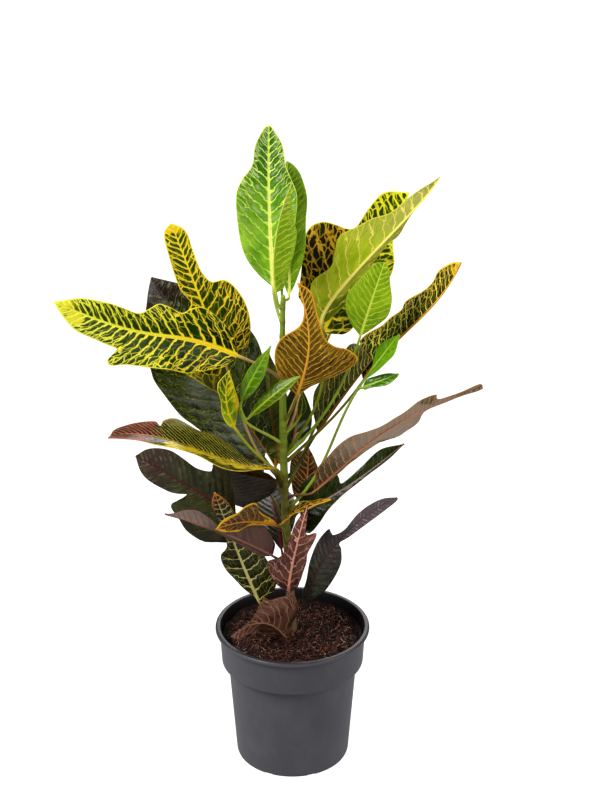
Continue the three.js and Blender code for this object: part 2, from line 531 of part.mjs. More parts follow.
function makePot() {
  const lipFoot = POT.height - POT.lipHeight;
  const floorTop = FLOOR.recess + FLOOR.thickness;
  const profile = [
    [0, 0],
    [FLOOR.disc, 0],
    [FLOOR.disc + 2, FLOOR.recess],
    [FLOOR.ringInner - 2, FLOOR.recess],
    [FLOOR.ringInner, 0],
    [FLOOR.ringOuter, 0],
    [POT.bodyFoot - 0.6, POT.footRounding * 0.4],
    [wallRadius(POT.footRounding), POT.footRounding],
    [POT.bodyTop, stepFootHeight],
    [POT.collarFoot, collarFootHeight],
    [wallRadius(lipFoot - 0.5), lipFoot - 0.5],
    [POT.lipRadius - 0.8, lipFoot],
    [POT.lipRadius, lipFoot + 1.6],
    [POT.lipRadius - 0.5, POT.height - 0.8],
    [POT.lipRadius - 2, POT.height],
    [innerRadius(POT.height) + 1, POT.height - 0.2],
    [innerRadius(lipFoot), lipFoot - 1],
    [innerRadius(collarFootHeight), collarFootHeight],
    [innerRadius(stepFootHeight), stepFootHeight],
    [innerRadius(floorTop), floorTop],
    [FLOOR.disc + 3, floorTop],
    [FLOOR.disc, FLOOR.thickness],
    [0, FLOOR.thickness],
  ];
  let body = solid(turned(profile, POT.sides));
  for (let k = 0; k < DRAIN.count; k++) {
    const turn = THREE.MathUtils.degToRad(DRAIN.start) + (2 * Math.PI * k) / DRAIN.count;
    const slot = new THREE.BoxGeometry(DRAIN.outer - DRAIN.inner, DRAIN.width, DRAIN.height)
      .translate((DRAIN.inner + DRAIN.outer) / 2, 0, 0)
      .rotateZ(turn);
    body = body.subtract(solid(slot));
  }
  return geometryOf(body);
}

// Height of the soil over a place: broad heaps, a rise round the stem and small ridges.
function soilHeight(x, y) {
  const radius = Math.hypot(x, y);
  const heaps = Math.sin(x * 0.05 + 1) * Math.cos(y * 0.06) + 0.6 * Math.sin(x * 0.17 + y * 0.11);
  return SOIL.top + SOIL.swell * heaps * 0.6 + 2.5 * Math.exp(-((radius / 18) ** 2));
}

function makeSoil() {
  const floorTop = FLOOR.recess + FLOOR.thickness + SOIL.clearance;
  const edge = (z) => innerRadius(z) - SOIL.clearance * 1.6;
  const profile = [
    [0, FLOOR.thickness + SOIL.clearance],
    [FLOOR.disc - 1, FLOOR.thickness + SOIL.clearance],
    [FLOOR.disc + 3, floorTop],
    [edge(floorTop) - 0.2, floorTop],
    [edge(stepFootHeight), stepFootHeight + 0.6],
    [edge(collarFootHeight), collarFootHeight + 0.6],
    [edge(SOIL.top), SOIL.top],
  ];
  for (let k = SOIL.rings - 1; k >= 0; k--) {
    profile.push([(edge(SOIL.top) * k) / SOIL.rings, SOIL.top]);
  }
  const geometry = turned(profile, POT.sides);
  const p = geometry.attributes.position;
  for (let i = 0; i < p.count; i++) {
    if (p.getZ(i) < SOIL.top - 0.01) continue;
    p.setZ(i, soilHeight(p.getX(i), p.getY(i)));
  }
  const hole = new THREE.CylinderGeometry(SOIL.holeRadius, SOIL.holeRadius, SOIL.holeDepth + 20, 16)
    .rotateX(Math.PI / 2)
    .translate(0, 0, SOIL.top - SOIL.holeDepth + (SOIL.holeDepth + 20) / 2);
  return geometryOf(solid(geometry).subtract(solid(hole)));
}

function makeStem() {
  const rings = [];
  const heights = smoothLine(STEM_PATH, 3).map((p) => p[2]);
  for (const z of heights) {
    const centre = stemAt(z);
    const radius = stemRadius(z);
    rings.push([...Array(STEM_SIDES).keys()].map((k) => {
      const turn = (2 * Math.PI * k) / STEM_SIDES;
      return V(centre.x + radius * Math.cos(turn), centre.y + radius * Math.sin(turn), z);
    }));
  }
  return facingOut(loft(rings));
}

// Every leaf as one skin from the stalk's seat to the tip. Longer leaves take more ribs.
function makeLeaves() {
  const stalks = new Map();
  const made = new Map();
  for (const row of LEAVES) {
    const shape = shapeOf(row);
    const stalk = stalkCurve(shape, stalks);
    stalks.set(row.name, stalk);
    const stalkCount = Math.round(THREE.MathUtils.clamp(stalk.curve.getLength() / 16, 3, 7));
    const wanted = THREE.MathUtils.clamp(shape.length / RIB_SPACING, 8, 18);
    const ribs = row.name.startsWith("back") ? BACK_RIBS : Math.round(wanted);
    const roots = ribRoots(shape.margins, shape.length, ribs);
    roots[0] = 0.004;
    roots[ribs] = 0.997;
    const rings = [...stalkRings(shape, stalk, stalkCount), ...roots.map((root) => bladeRing(shape, root))];
    const geometry = facingOut(loft(rings, CROSSED));
    if (row.from) {
      const joined = solid(made.get(row.from[0]).geometry).add(solid(geometry));
      made.set(row.from[0], { geometry: geometryOf(joined), skin: row.skin });
    } else {
      made.set(row.name, { geometry, skin: row.skin });
    }
  }
  return made;
}

function addMesh(group, name, geometry, colour, roughness) {
  geometry.computeVertexNormals();
  const look = { color: colour, roughness, metalness: 0, flatShading: true };
  const material = new THREE.MeshStandardMaterial(look);
  const mesh = new THREE.Mesh(geometry, material);
  mesh.name = name;
  group.add(mesh);
}

const croton = new THREE.Group();
croton.name = "potted_croton";
addMesh(croton, "pot", makePot(), "#46454a", 0.45);
addMesh(croton, "soil", makeSoil(), "#2c1c15", 0.95);
addMesh(croton, "stem", makeStem(), "#6b8a3a", 0.6);
for (const [name, { geometry, skin }] of makeLeaves()) {
  addMesh(croton, name, geometry, COLOURS[skin], 0.35);
}

export default croton;
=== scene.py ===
import math
import bpy
import numpy as np
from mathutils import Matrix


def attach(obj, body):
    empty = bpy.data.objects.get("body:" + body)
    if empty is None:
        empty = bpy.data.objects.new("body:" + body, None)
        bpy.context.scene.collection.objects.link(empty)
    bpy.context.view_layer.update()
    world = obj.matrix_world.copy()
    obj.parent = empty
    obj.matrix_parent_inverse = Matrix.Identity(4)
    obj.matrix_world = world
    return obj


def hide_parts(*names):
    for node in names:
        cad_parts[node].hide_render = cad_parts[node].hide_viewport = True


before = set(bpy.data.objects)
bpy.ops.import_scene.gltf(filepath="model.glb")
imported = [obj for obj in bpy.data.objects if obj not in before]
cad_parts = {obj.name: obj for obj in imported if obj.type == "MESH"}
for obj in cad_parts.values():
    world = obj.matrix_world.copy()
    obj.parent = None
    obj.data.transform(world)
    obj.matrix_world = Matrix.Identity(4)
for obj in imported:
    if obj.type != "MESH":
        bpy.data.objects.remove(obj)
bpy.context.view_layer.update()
print("frame loaded")

mm = 0.001
# settings that many nodes share: a soft step, a mix of two colours and its output, a * b and a * b + c
smooth, mixed = {"interpolation_type": "SMOOTHSTEP"}, {"out": 2, "data_type": "RGBA"}
times, timesPlus = {"operation": "MULTIPLY"}, {"operation": "MULTIPLY_ADD"}


def put(tree, kind, inputs=(), out=0, **settings):
    # adds one node with its settings, its values and its links, and gives the output that is wanted; an
    # input that is None stays as it is, such as the W of a noise
    node = tree.nodes.new(kind)
    for key, value in settings.items():
        setattr(node, key, value)
    for key, value in inputs.items() if isinstance(inputs, dict) else enumerate(inputs):
        if isinstance(value, bpy.types.NodeSocket):
            tree.links.new(value, node.inputs[key])
        elif value is not None:
            node.inputs[key].default_value = value
    return node if out is None else node.outputs[out]


def linear(code):
    # sRGB hex to the linear colour that nodes take
    parts = [int(code[i:i + 2], 16) / 255 for i in (1, 3, 5)]
    return [c / 12.92 if c <= 0.04045 else ((c + 0.055) / 1.055) ** 2.4 for c in parts] + [1.0]


def freshMaterial(name):
    material = bpy.data.materials.new(name)
    material.use_nodes = True
    material.node_tree.nodes.clear()
    return material, material.node_tree


def meshObject(name, points, faces, marks=None):
    # points in millimetres, marks are named vectors on the points
    mesh = bpy.data.meshes.new(name)
    mesh.from_pydata((np.asarray(points) * mm).tolist(), [], faces)
    for label, values in (marks or {}).items():
        layer = mesh.attributes.new(label, "FLOAT_VECTOR", "POINT")
        layer.data.foreach_set("vector", np.asarray(values, np.float32).ravel())
    mesh.polygons.foreach_set("use_smooth", [True] * len(mesh.polygons))
    mesh.update()
    piece = bpy.data.objects.new(name, mesh)
    bpy.context.scene.collection.objects.link(piece)
    return piece


# Camera at the photograph's place: its pitch, place and lens follow from the pot's ellipses and size.
cameraSetup = {"place": (0.0083, -1.728, 1.170), "pitch": 23.22, "lens": 81.0, "sensor": 36.0, "reach": 50}
cameraData = bpy.data.cameras.new("studioCamera")
cameraData.lens = cameraSetup["lens"]
cameraData.sensor_width = cameraSetup["sensor"]
cameraData.clip_end = cameraSetup["reach"]
camera = bpy.data.objects.new("studioCamera", cameraData)
camera.location = cameraSetup["place"]
camera.rotation_euler = (math.radians(90 - cameraSetup["pitch"]), 0, 0)
bpy.context.scene.collection.objects.link(camera)
bpy.context.scene.camera = camera
print("camera set")

# Stem and leaves, in millimetres and degrees. The stem's path holds points, and its radii go with heights.
stemSizes = {
    "path": [[0, 0, 124], [0, 0, 150], [-4, 1, 230], [-8, 1, 320], [-9.5, 0, 400], [-10, 0, 480],
             [-9, 0, 545]],
    "radii": [[124, 5], [150, 4.8], [320, 4.2], [400, 3.9], [480, 3.2], [545, 2.4]],
}
leafSizes = {
    "thickness": 0.7, "rimShare": 0.45, "rimStrip": 0.6, "leastReach": 1, "bladeEnds": [0.004, 0.997],
    "fold": 10, "wave": [1.5, 2.5], "waveShift": 0.37, "waveFrom": 12,
    "sweep": 0.55, "sweepEven": 0.02, "ribBow": 1.25, "ribAt": 0.45, "ribStart": [0.4, 0.75],
    "ribStations": [0, 0.45, 0.75, 1], "ribTaper": 0.72, "cellShift": 7, "patchSoft": 1.5,
    "rowStep": 1.7, "rowRange": [26, 112], "columnStep": 2.0, "columnRange": [5, 22],
    "marginSteps": 48, "lengthSteps": 101, "evenSteps": 401,
    "quilt": 0.55, "crestPower": 2.2, "quietRib": 6, "quietEdge": 4, "quietStep": 4,
    "crinkle": 0.7, "crinkleFrom": 20, "ripples": [[9, 1.5, 0.5], [4.6, -2, 0.25]], "roll": [21, 11, 0.6],
    "anyTurn": 6.28, "seed": 100, "tailSeed": 50,
    "stalkRadius": 1.5, "stalkRise": 45, "stalkSunk": 0.4, "stalkPull": 0.38, "stalkRows": 15,
    "seatFlare": [0.5, 8], "neckFlare": [0.15, 4], "bareStalk": [20, 0.5, 50], "tubeSides": 10,
    "ridgeRows": 30, "ridgeEnd": 0.96, "ridgeFull": 2.2, "ridgeTaper": 0.8, "ridgeShare": 0.8,
    "ridgeLeast": 0.25, "ridgeSunk": [12, 0.45],
}
# outlines of half blades that are hidden or plain: share along and share of the width
habits = {
    "spear": [[0.1, 0.3], [0.25, 0.7], [0.45, 1], [0.65, 0.92], [0.85, 0.5], [0.95, 0.2]],
    "spoon": [[0.07, 0.27], [0.18, 0.65], [0.3, 0.88], [0.48, 1], [0.6, 0.97], [0.71, 0.58], [0.8, 0.5],
              [0.9, 0.32]],
    "oak": [[0.06, 0.2], [0.18, 0.65], [0.32, 0.97], [0.42, 1], [0.5, 0.8], [0.62, 0.38], [0.75, 0.42],
            [0.88, 0.36]],
    "blunt": [[0.05, 0.25], [0.15, 0.62], [0.3, 0.93], [0.45, 1], [0.6, 0.93], [0.75, 0.7], [0.88, 0.4]],
}
# Each row: name, skin, height of the seat on the stem, midrib through 3 or 4 points, where the upper side
# looks, left and right half blade, and what differs from leafSizes. A half blade is a habit and its width, or
# its margin's points, each as hundredths of the length along and millimetres out. "from" seats a leaf on
# another leaf's stalk, at that share of it.
leafTable = [
    ["crown_tall", "lime", 516, [[-19, 14, 548], [-23, 30, 631], [-23, 40, 712]], [0, -1, 0.35],
     [9, 15, 20, 27, 33, 32, 55, 34, 65, 29, 75, 17, 87, 14, 97, 6],
     [9, 11, 22, 21, 41, 27, 56, 29, 67, 23, 75, 18, 88, 14, 97, 5], {}],
    ["crown_back", "lime", 536, [[-3, 16, 538], [-3, 34, 600], [-5, 50, 672]], [0.15, -1, 0.3],
     ["spear", 18],
     [14, 8, 36, 16, 60, 18, 76, 19, 90, 14, 97, 7], {}],
    ["crown_young", "young", 531, [[-16, -1, 548], [-16, -4, 605], [0, -6, 665]], [1, 0.35, 0.15],
     [0, 7, 16, 13, 39, 21, 61, 20, 70, 15],
     ["spear", 16], {"fold": 50, "wave": [0.5, 2]}],
    ["left_upper", "gold", 336, [[-70, 4, 470], [-91, 4, 532], [-122, 12, 618]], [0, -0.85, 0.5],
     [-24, 15, -4, 27, 9, 45, 29, 47, 45, 33, 54, 11, 65, 16, 82, 15, 96, 11],
     [4, 26, 23, 38, 40, 42, 52, 39, 61, 31, 63, 17, 72, 11, 83, 11, 94, 11], {"fold": 8}],
    ["left_long", "gold", 454, [[-55, -22, 487], [-111, -44, 515], [-155, -68, 532], [-228, -104, 576]],
     [0, -0.85, 0.5],
     [0, 1, 2, 8, 7, 20, 24, 34, 42, 35, 67, 35, 76, 40, 78, 35, 74, 25, 75, 22, 84, 20, 92, 18, 97, 9],
     [3, 11, 8, 22, 17, 32, 24, 35, 30, 31, 36, 25, 46, 30, 53, 31, 60, 24, 67, 18, 77, 19, 84, 19, 93, 14],
      {"fold": 8}],
    ["left_dark", "night", 364, [[-28, 26, 357], [-90, 48, 450], [-148, 62, 543]], [0.1, -0.8, 0.6],
     [-10, 12, -4, 26, 8, 36, 20, 44, 30, 51, 39, 58, 56, 61, 64, 57, 79, 43, 93, 17],
     [9, 19, 24, 37, 41, 55, 53, 58, 69, 50, 82, 36, 91, 19], {}],
    ["left_flat", "ember", 338, [[-21, -16, 357], [-73, -22, 371], [-129, -20, 392], [-191, -8, 391]],
     [-0.1, 0, 1],
     [6, 8, 18, 26, 32, 38, 42, 40, 50, 34, 62, 22, 75, 25, 88, 27, 97, 19],
     [8, 10, 24, 24, 40, 32, 52, 34, 66, 38, 73, 28, 74, 17, 79, 24, 98, 15], {"fold": 12}],
    ["left_purple", "plum", 276, [[-60, -22, 307], [-106, -34, 344], [-162, -40, 383]], [-0.15, -1, 0.12],
     [-19, 27, -6, 35, 11, 43, 30, 43, 45, 34, 56, 26, 48, 8, 63, 16, 80, 16, 91, 11],
     [29, 36, 43, 46, 51, 43, 47, 32, 57, 25, 72, 28, 84, 27, 95, 16], {"fold": 14}],
    ["left_mauve", "mauve", 230, [[-21, -38, 265], [-75, -66, 308], [-131, -74, 333]], [0, 0.9, -0.4],
     [-2, 9, 6, 16, 14, 22, 24, 25, 33, 21, 42, 11, 52, 6, 63, 10, 74, 13, 83, 10, 93, 3],
     [3, 3, 11, 6, 33, 4, 55, 2, 76, 1, 88, 1], {"fold": 6}],
    ["left_low", "ember", 165, [[-37, -12, 196], [-59, -28, 267], [-80, -60, 351]], [-0.1, -0.95, 0.35],
     [9, 5, 21, 12, 37, 19, 51, 18, 57, 8, 74, 7, 91, 7],
     [1, 17, 17, 29, 38, 28, 53, 23, 71, 19, 91, 10], {"fold": 12}],
    ["left_brown", "brown", 329, [[-16, -6, 339], [-50, 2, 342], [-85, 6, 350]], [0, 0.8, 0.65],
     ["blunt", 16],
     [22, 54, 40, 92, 59, 112, 75, 85, 91, 35], {"fold": 6}],
    ["front_gold", "ember", 263, [[-14, -24, 293], [-46, -64, 319], [-78, -88, 322]], [0, 1, 0.15],
     [26, 9, 44, 15, 52, 24, 64, 22, 73, 13, 89, 6],
     [10, 2, 25, 4, 40, 9, 55, 13, 72, 13, 90, 6], {"fold": 4}],
    ["front_tail", "ember", None, [[-9, -30, 301], [10, -32, 318], [41, -32, 329]], [0.1, 0.05, 1],
     [-2, 39, 45, 16, 70, 10],
     ["spear", 9], {"from": ["front_gold", 0.97], "fold": 4}],
    ["foot_mauve", "mauve", 182, [[-4, -22, 212], [1, -42, 261], [16, -48, 329]], [0, 1, 0.1],
     [8, 10, 33, 13, 47, 15, 59, 14, 79, 18, 78, 7, 93, 3],
     [7, 8, 18, 16, 32, 24, 42, 26, 53, 14, 69, 9, 85, 7], {}],
    ["foot_front", "rust", 155, [[-7, -16, 151], [-33, -34, 181], [-66, -46, 170]], [0, 0.95, 0.3],
     [8, 11, 25, 26, 39, 50, 45, 41, 52, 32, 57, 38, 59, 25, 67, 8, 86, 1],
     [4, 7, 12, 16, 58, 20, 93, 10], {"fold": 6}],
    ["centre_brown", "amber", 408, [[5, -14, 439], [15, -22, 478], [17, -28, 518], [6, -26, 568]],
     [0, 1, 0.15],
     [5, 5, 12, 12, 20, 24, 32, 43, 41, 52, 48, 40, 51, 26, 59, 16, 77, 11, 92, 10],
     [4, 11, 19, 28, 38, 34, 58, 29, 70, 9, 81, 2, 92, 1], {"fold": 6}],
    ["right_olive", "olive", 369, [[31, 18, 506], [57, 20, 553], [113, 22, 616], [149, 24, 663]],
     [-0.42, 0.77, 0.02],
     [-2, 25, 24, 39, 40, 27, 54, 12, 60, 16, 68, 5, 78, 1],
     [9, 13, 15, 19, 23, 28, 33, 22, 38, 27, 45, 37, 53, 31, 59, 26, 67, 15, 82, 10], {"fold": 30}],
    ["right_gold", "gold", 387, [[32, 48, 486], [73, 64, 552], [122, 76, 631]], [0, -0.85, 0.5],
     [11, 40, 29, 53, 41, 63, 53, 69, 61, 61, 64, 46, 65, 36, 69, 28, 81, 27, 93, 22],
     [4, 17, 12, 25, 34, 30, 53, 31, 63, 27, 72, 15, 80, 9, 91, 5], {"fold": 8}],
    ["right_spoon", "young", 366, [[70, -10, 504], [80, -16, 542], [93, -16, 586]], [-0.1, -0.9, 0.45],
     [16, 13, 35, 23, 55, 25, 79, 16, 96, 8],
     [25, 13, 45, 21, 63, 20, 78, 14, 96, 6], {"wave": [0.8, 2]}],
    ["right_long", "ember", 358, [[74, 6, 448], [110, -2, 498], [143, -10, 537], [170, -22, 588]],
     [-0.8, 0, 0.6],
     [11, 35, 16, 35, 26, 31, 34, 30, 45, 24, 52, 27, 75, 22, 84, 22, 95, 12],
     [11, 1, 24, 1, 40, 1, 58, 1, 83, 1], {"fold": 34}],
    ["right_deep", "night", 338, [[27, 14, 386], [56, 10, 432], [83, 4, 472]], [-0.75, 0, 0.6],
     [3, 9, 16, 31, 27, 40, 51, 39, 82, 37, 96, 26],
     [2, 1, 19, 1, 40, 1, 69, 1], {"fold": 34}],
    ["right_broad", "mauve", 315, [[23, -12, 328], [71, -38, 389], [115, -56, 431], [190, -84, 478]],
     [-0.2, 0.75, 0.62],
     [13, 7, 33, 9, 43, 19, 49, 35, 66, 24, 77, 3, 89, 5, 96, 5],
     [6, 12, 14, 24, 25, 26, 41, 23, 55, 12, 71, 11, 81, 18, 87, 19, 86, 8, 100, 10], {"fold": 8}],
    ["right_dark", "night", 283, [[8, 0, 298], [56, -2, 327], [119, 4, 377]], [-0.3, -0.8, 0.5],
     [11, 22, 26, 30, 42, 22, 51, 16, 50, 6, 69, 9, 86, 11],
     [-1, 21, 6, 28, 17, 21, 28, 13, 45, 6, 67, 3, 88, 3], {"fold": 16}],
    ["right_low", "plum", 160, [[13, 16, 168], [19, 10, 197], [48, -12, 266], [110, -48, 339]],
     [-0.1, -0.75, 0.6],
     [21, 5, 28, 7, 40, 8, 53, 14, 62, 18, 69, 17, 68, 10, 74, 4, 84, 7, 94, 6],
     [27, 8, 44, 19, 61, 19, 67, 9, 68, 2, 75, 6, 88, 8, 98, 4], {"fold": 12}],
    ["rear_orange", "night", 298, [[12, 26, 292], [16, 36, 319], [18, 48, 351]], [-0.1, -0.9, 0.4],
     [8, 5, 25, 14, 45, 17, 65, 20, 85, 18, 95, 10],
     [10, 6, 30, 14, 50, 17, 70, 12, 90, 5], {"fold": 14}],
    ["rear_left", "night", 340, [[-12, 18, 345], [-22, 56, 385], [-25, 86, 446]], [0.1, -0.8, 0.6],
     ["blunt", 14], ["blunt", 22], {"fold": 12}],
    ["rear_right", "night", 376, [[-1, 18, 363], [5, 36, 392], [4, 48, 430]], [-0.1, -0.8, 0.6],
     ["blunt", 18], ["blunt", 17], {"fold": 12}],
    ["young_left", "lime", 380, [[-52, -30, 439], [-41, -32, 465], [-21, -34, 503]], [-0.3, -0.9, 0.4],
     [25, 6, 56, 8, 80, 5],
     [31, 8, 62, 11, 83, 7], {"fold": 12, "wave": [0.6, 2]}],
    ["young_strap", "young", None, [[-46, -34, 422], [-19, -36, 449], [9, -34, 470]], [0.6, -0.2, 0.85],
     ["spear", 9], ["spear", 9], {"from": ["young_left", 0.9], "wave": [0.4, 2]}],
    ["young_yellow", "gold", 343, [[-59, -26, 408], [-68, -32, 440], [-64, -34, 476]], [0.75, -0.6, 0.4],
     [24, 13, 62, 17, 92, 27],
     [17, 9, 44, 14, 74, 10], {"fold": 24, "wave": [0.6, 2]}],
    ["shoot_upper", "lime", 303, [[75, -6, 454], [91, -10, 479], [110, -12, 507]], [-0.35, -0.5, 0.8],
     [28, 2, 57, 10, 78, 8],
     [38, 11, 61, 14, 80, 14], {"fold": 16, "wave": [0.6, 2]}],
    ["shoot_lower", "lime", None, [[73, -8, 446], [91, -12, 455], [110, -14, 464]], [-0.1, -0.7, 0.7],
     [15, 6, 34, 7, 74, 5],
     [1, 4, 26, 4, 63, 8, 92, 4], {"from": ["shoot_upper", 0.93], "fold": 14, "wave": [0.6, 2]}],
    ["curl_small", "young", 392, [[9, -8, 416], [11, -12, 428], [10, -12, 441]], [-0.3, -0.9, 0.3],
     ["blunt", 5], ["blunt", 5], {"fold": 20, "wave": [0.2, 1]}],
    ["back_west", "night", 322, [[-46, 62, 356], [-88, 116, 392], [-128, 168, 412]], [0.2, 0.6, 0.8],
     ["oak", 30], ["oak", 30], {"wave": [2, 2.5]}],
    ["back_east", "gold", 398, [[24, 62, 448], [56, 110, 490], [84, 156, 528]], [-0.3, 0.5, 0.8],
     ["spoon", 28], ["spoon", 28], {"wave": [2, 2.5]}],
    ["back_crown", "lime", 500, [[-11, 26, 548], [-13, 70, 600], [-6, 110, 640]], [0, 0.7, 0.5],
     ["spear", 22], ["spear", 22], {"wave": [2, 2.5]}],
    ["back_centre", "amber", 300, [[-18, 40, 330], [-24, 104, 366], [-30, 164, 392]], [0, 0.6, 0.8],
     ["oak", 24], ["oak", 24], {"wave": [2, 2.5]}],
    ["back_foot", "plum", 196, [[-12, 44, 228], [-24, 110, 254], [-36, 168, 254]], [0, 0.3, 1],
     ["spoon", 26], ["spoon", 26], {"wave": [2, 2.5]}],
    ["back_right", "night", 256, [[18, 42, 280], [30, 88, 268], [38, 130, 238]], [0, 0.3, 1], ["spear", 18],
     ["spear", 18], {"wave": [2, 2.5]}],
    ["back_low", "ember", 276, [[-30, 52, 300], [-62, 96, 308], [-90, 138, 300]], [0, 0.3, 1],
     ["spear", 22], ["spear", 22], {"wave": [2, 2.5]}],
    ["back_high", "ember", 326, [[36, 48, 398], [62, 96, 414], [86, 142, 420]], [-0.2, 0.4, 0.9],
     ["spoon", 24], ["spoon", 24], {"wave": [2, 2.5]}],
]
leafKeys = ("name", "skin", "at", "spine", "faces", "left", "right")
leafRows = [{**dict(zip(leafKeys, row)), **row[-1]} for row in leafTable]


def unit(v):
    v = np.asarray(v, float)
    return v / np.maximum(np.linalg.norm(v, axis=-1, keepdims=True), 1e-9)


def smoothLine(points, perStretch):
    # Catmull-Rom line through the points
    p = np.asarray(points, float)
    ends = np.vstack([2 * p[0] - p[1], p, 2 * p[-1] - p[-2]])
    t = np.linspace(0, 1, perStretch, endpoint=False)[:, None]
    line = []
    for a, b, c, d in zip(ends, ends[1:], ends[2:], ends[3:]):
        bend, turn = 2 * a - 5 * b + 4 * c - d, 3 * b - a - 3 * c + d
        line.append(0.5 * (2 * b + (c - a) * t + bend * t ** 2 + turn * t ** 3))
    return np.vstack(line + [p[-1:]])


def stemAt(z):
    path = np.array(stemSizes["path"], float)
    return np.array([np.interp(z, path[:, 2], path[:, 0]), np.interp(z, path[:, 2], path[:, 1]), z])


def stemRadius(z):
    heights, radii = zip(*stemSizes["radii"])
    return float(np.interp(z, heights, radii))


def controls(spine):
    # Bezier control points of the curve through 3 or 4 evenly spaced points
    p = [np.asarray(v, float) for v in spine]
    if len(p) == 3:
        return [p[0], 2 * p[1] - (p[0] + p[2]) / 2, p[2]]
    second = (-5 * p[0] + 18 * p[1] - 9 * p[2] + 2 * p[3]) / 6
    third = (2 * p[0] - 9 * p[1] + 18 * p[2] - 5 * p[3]) / 6
    return [p[0], second, third, p[3]]


def curve(c, t):
    t = np.atleast_1d(np.asarray(t, float))[:, None]
    count = len(c) - 1
    return sum(math.comb(count, k) * (1 - t) ** (count - k) * t ** k * p for k, p in enumerate(c))


def heading(c, t):
    steps = [len(c[1:]) * (b - a) for a, b in zip(c, c[1:])]
    return unit(curve(steps, np.clip(t, 0, 1)))


def marginOf(half, length):
    # where a side rib leaves the midrib, how far along it ends and how far out
    sweep, even = leafSizes["sweep"], leafSizes["sweepEven"]
    if isinstance(half[0], str):
        inner = [[a, o * half[1]] for a, o in habits[half[0]]]
    else:
        inner = (np.reshape(half, (-1, 2)) / [100, 1]).tolist()
    start = [[0, 0]] if inner[0][0] > sweep * inner[0][1] / length else []
    line = smoothLine(start + inner + [[1, 0]], leafSizes["marginSteps"])
    along, out = line[:, 0], np.maximum(line[:, 1], 0)
    root = np.maximum.accumulate(np.maximum(along - sweep * out / length, 0))
    return (1 - even) * root / root[-1] + even * np.linspace(0, 1, len(root)), along, out


def stalkOf(row, firstHeading, stalks):
    base = np.array(row["spine"][0], float)
    if "from" in row:
        parent, share = row["from"]
        seat, leave = curve(stalks[parent], share)[0], heading(stalks[parent], share)[0]
    else:
        centre = stemAt(row["at"])
        outward = unit((base - centre) * [1, 1, 0])
        seat = centre + outward * (stemRadius(row["at"]) - leafSizes["stalkSunk"])
        rise = math.radians(leafSizes["stalkRise"])
        leave = outward * math.cos(rise) + np.array([0, 0, math.sin(rise)])
    pull = leafSizes["stalkPull"] * np.linalg.norm(base - seat)
    return [seat, seat + leave * pull, base - firstHeading * pull, base]


def ringFaces(rings, sides):
    # skin over rings of points that lie between a first and a last point
    faces = []
    for r in range(rings - 1):
        for k in range(sides):
            a, b = 1 + r * sides + k, 1 + r * sides + (k + 1) % sides
            faces.append((a, b, b + sides, a + sides))
    last, end = 1 + (rings - 1) * sides, 1 + rings * sides
    for k in range(sides):
        faces.append((0, 1 + (k + 1) % sides, 1 + k))
        faces.append((end, last + k, last + (k + 1) % sides))
    return faces


def tube(path, radii, sides, up):
    # round skin along a path, closed at both ends with a point
    path, radii = np.asarray(path, float), np.asarray(radii, float)
    along = unit(np.gradient(path, axis=0))
    normal = unit(np.asarray(up, float) - along[0] * np.dot(up, along[0]))
    turn = np.linspace(0, 2 * math.pi, sides, endpoint=False)[:, None]
    rings = []
    for place, way, radius in zip(path, along, radii):
        normal = unit(normal - way * np.dot(normal, way))
        rings.append(place + radius * (np.cos(turn) * normal + np.sin(turn) * np.cross(way, normal)))
    return np.vstack([path[:1]] + rings + [path[-1:]]), ringFaces(len(rings), sides)


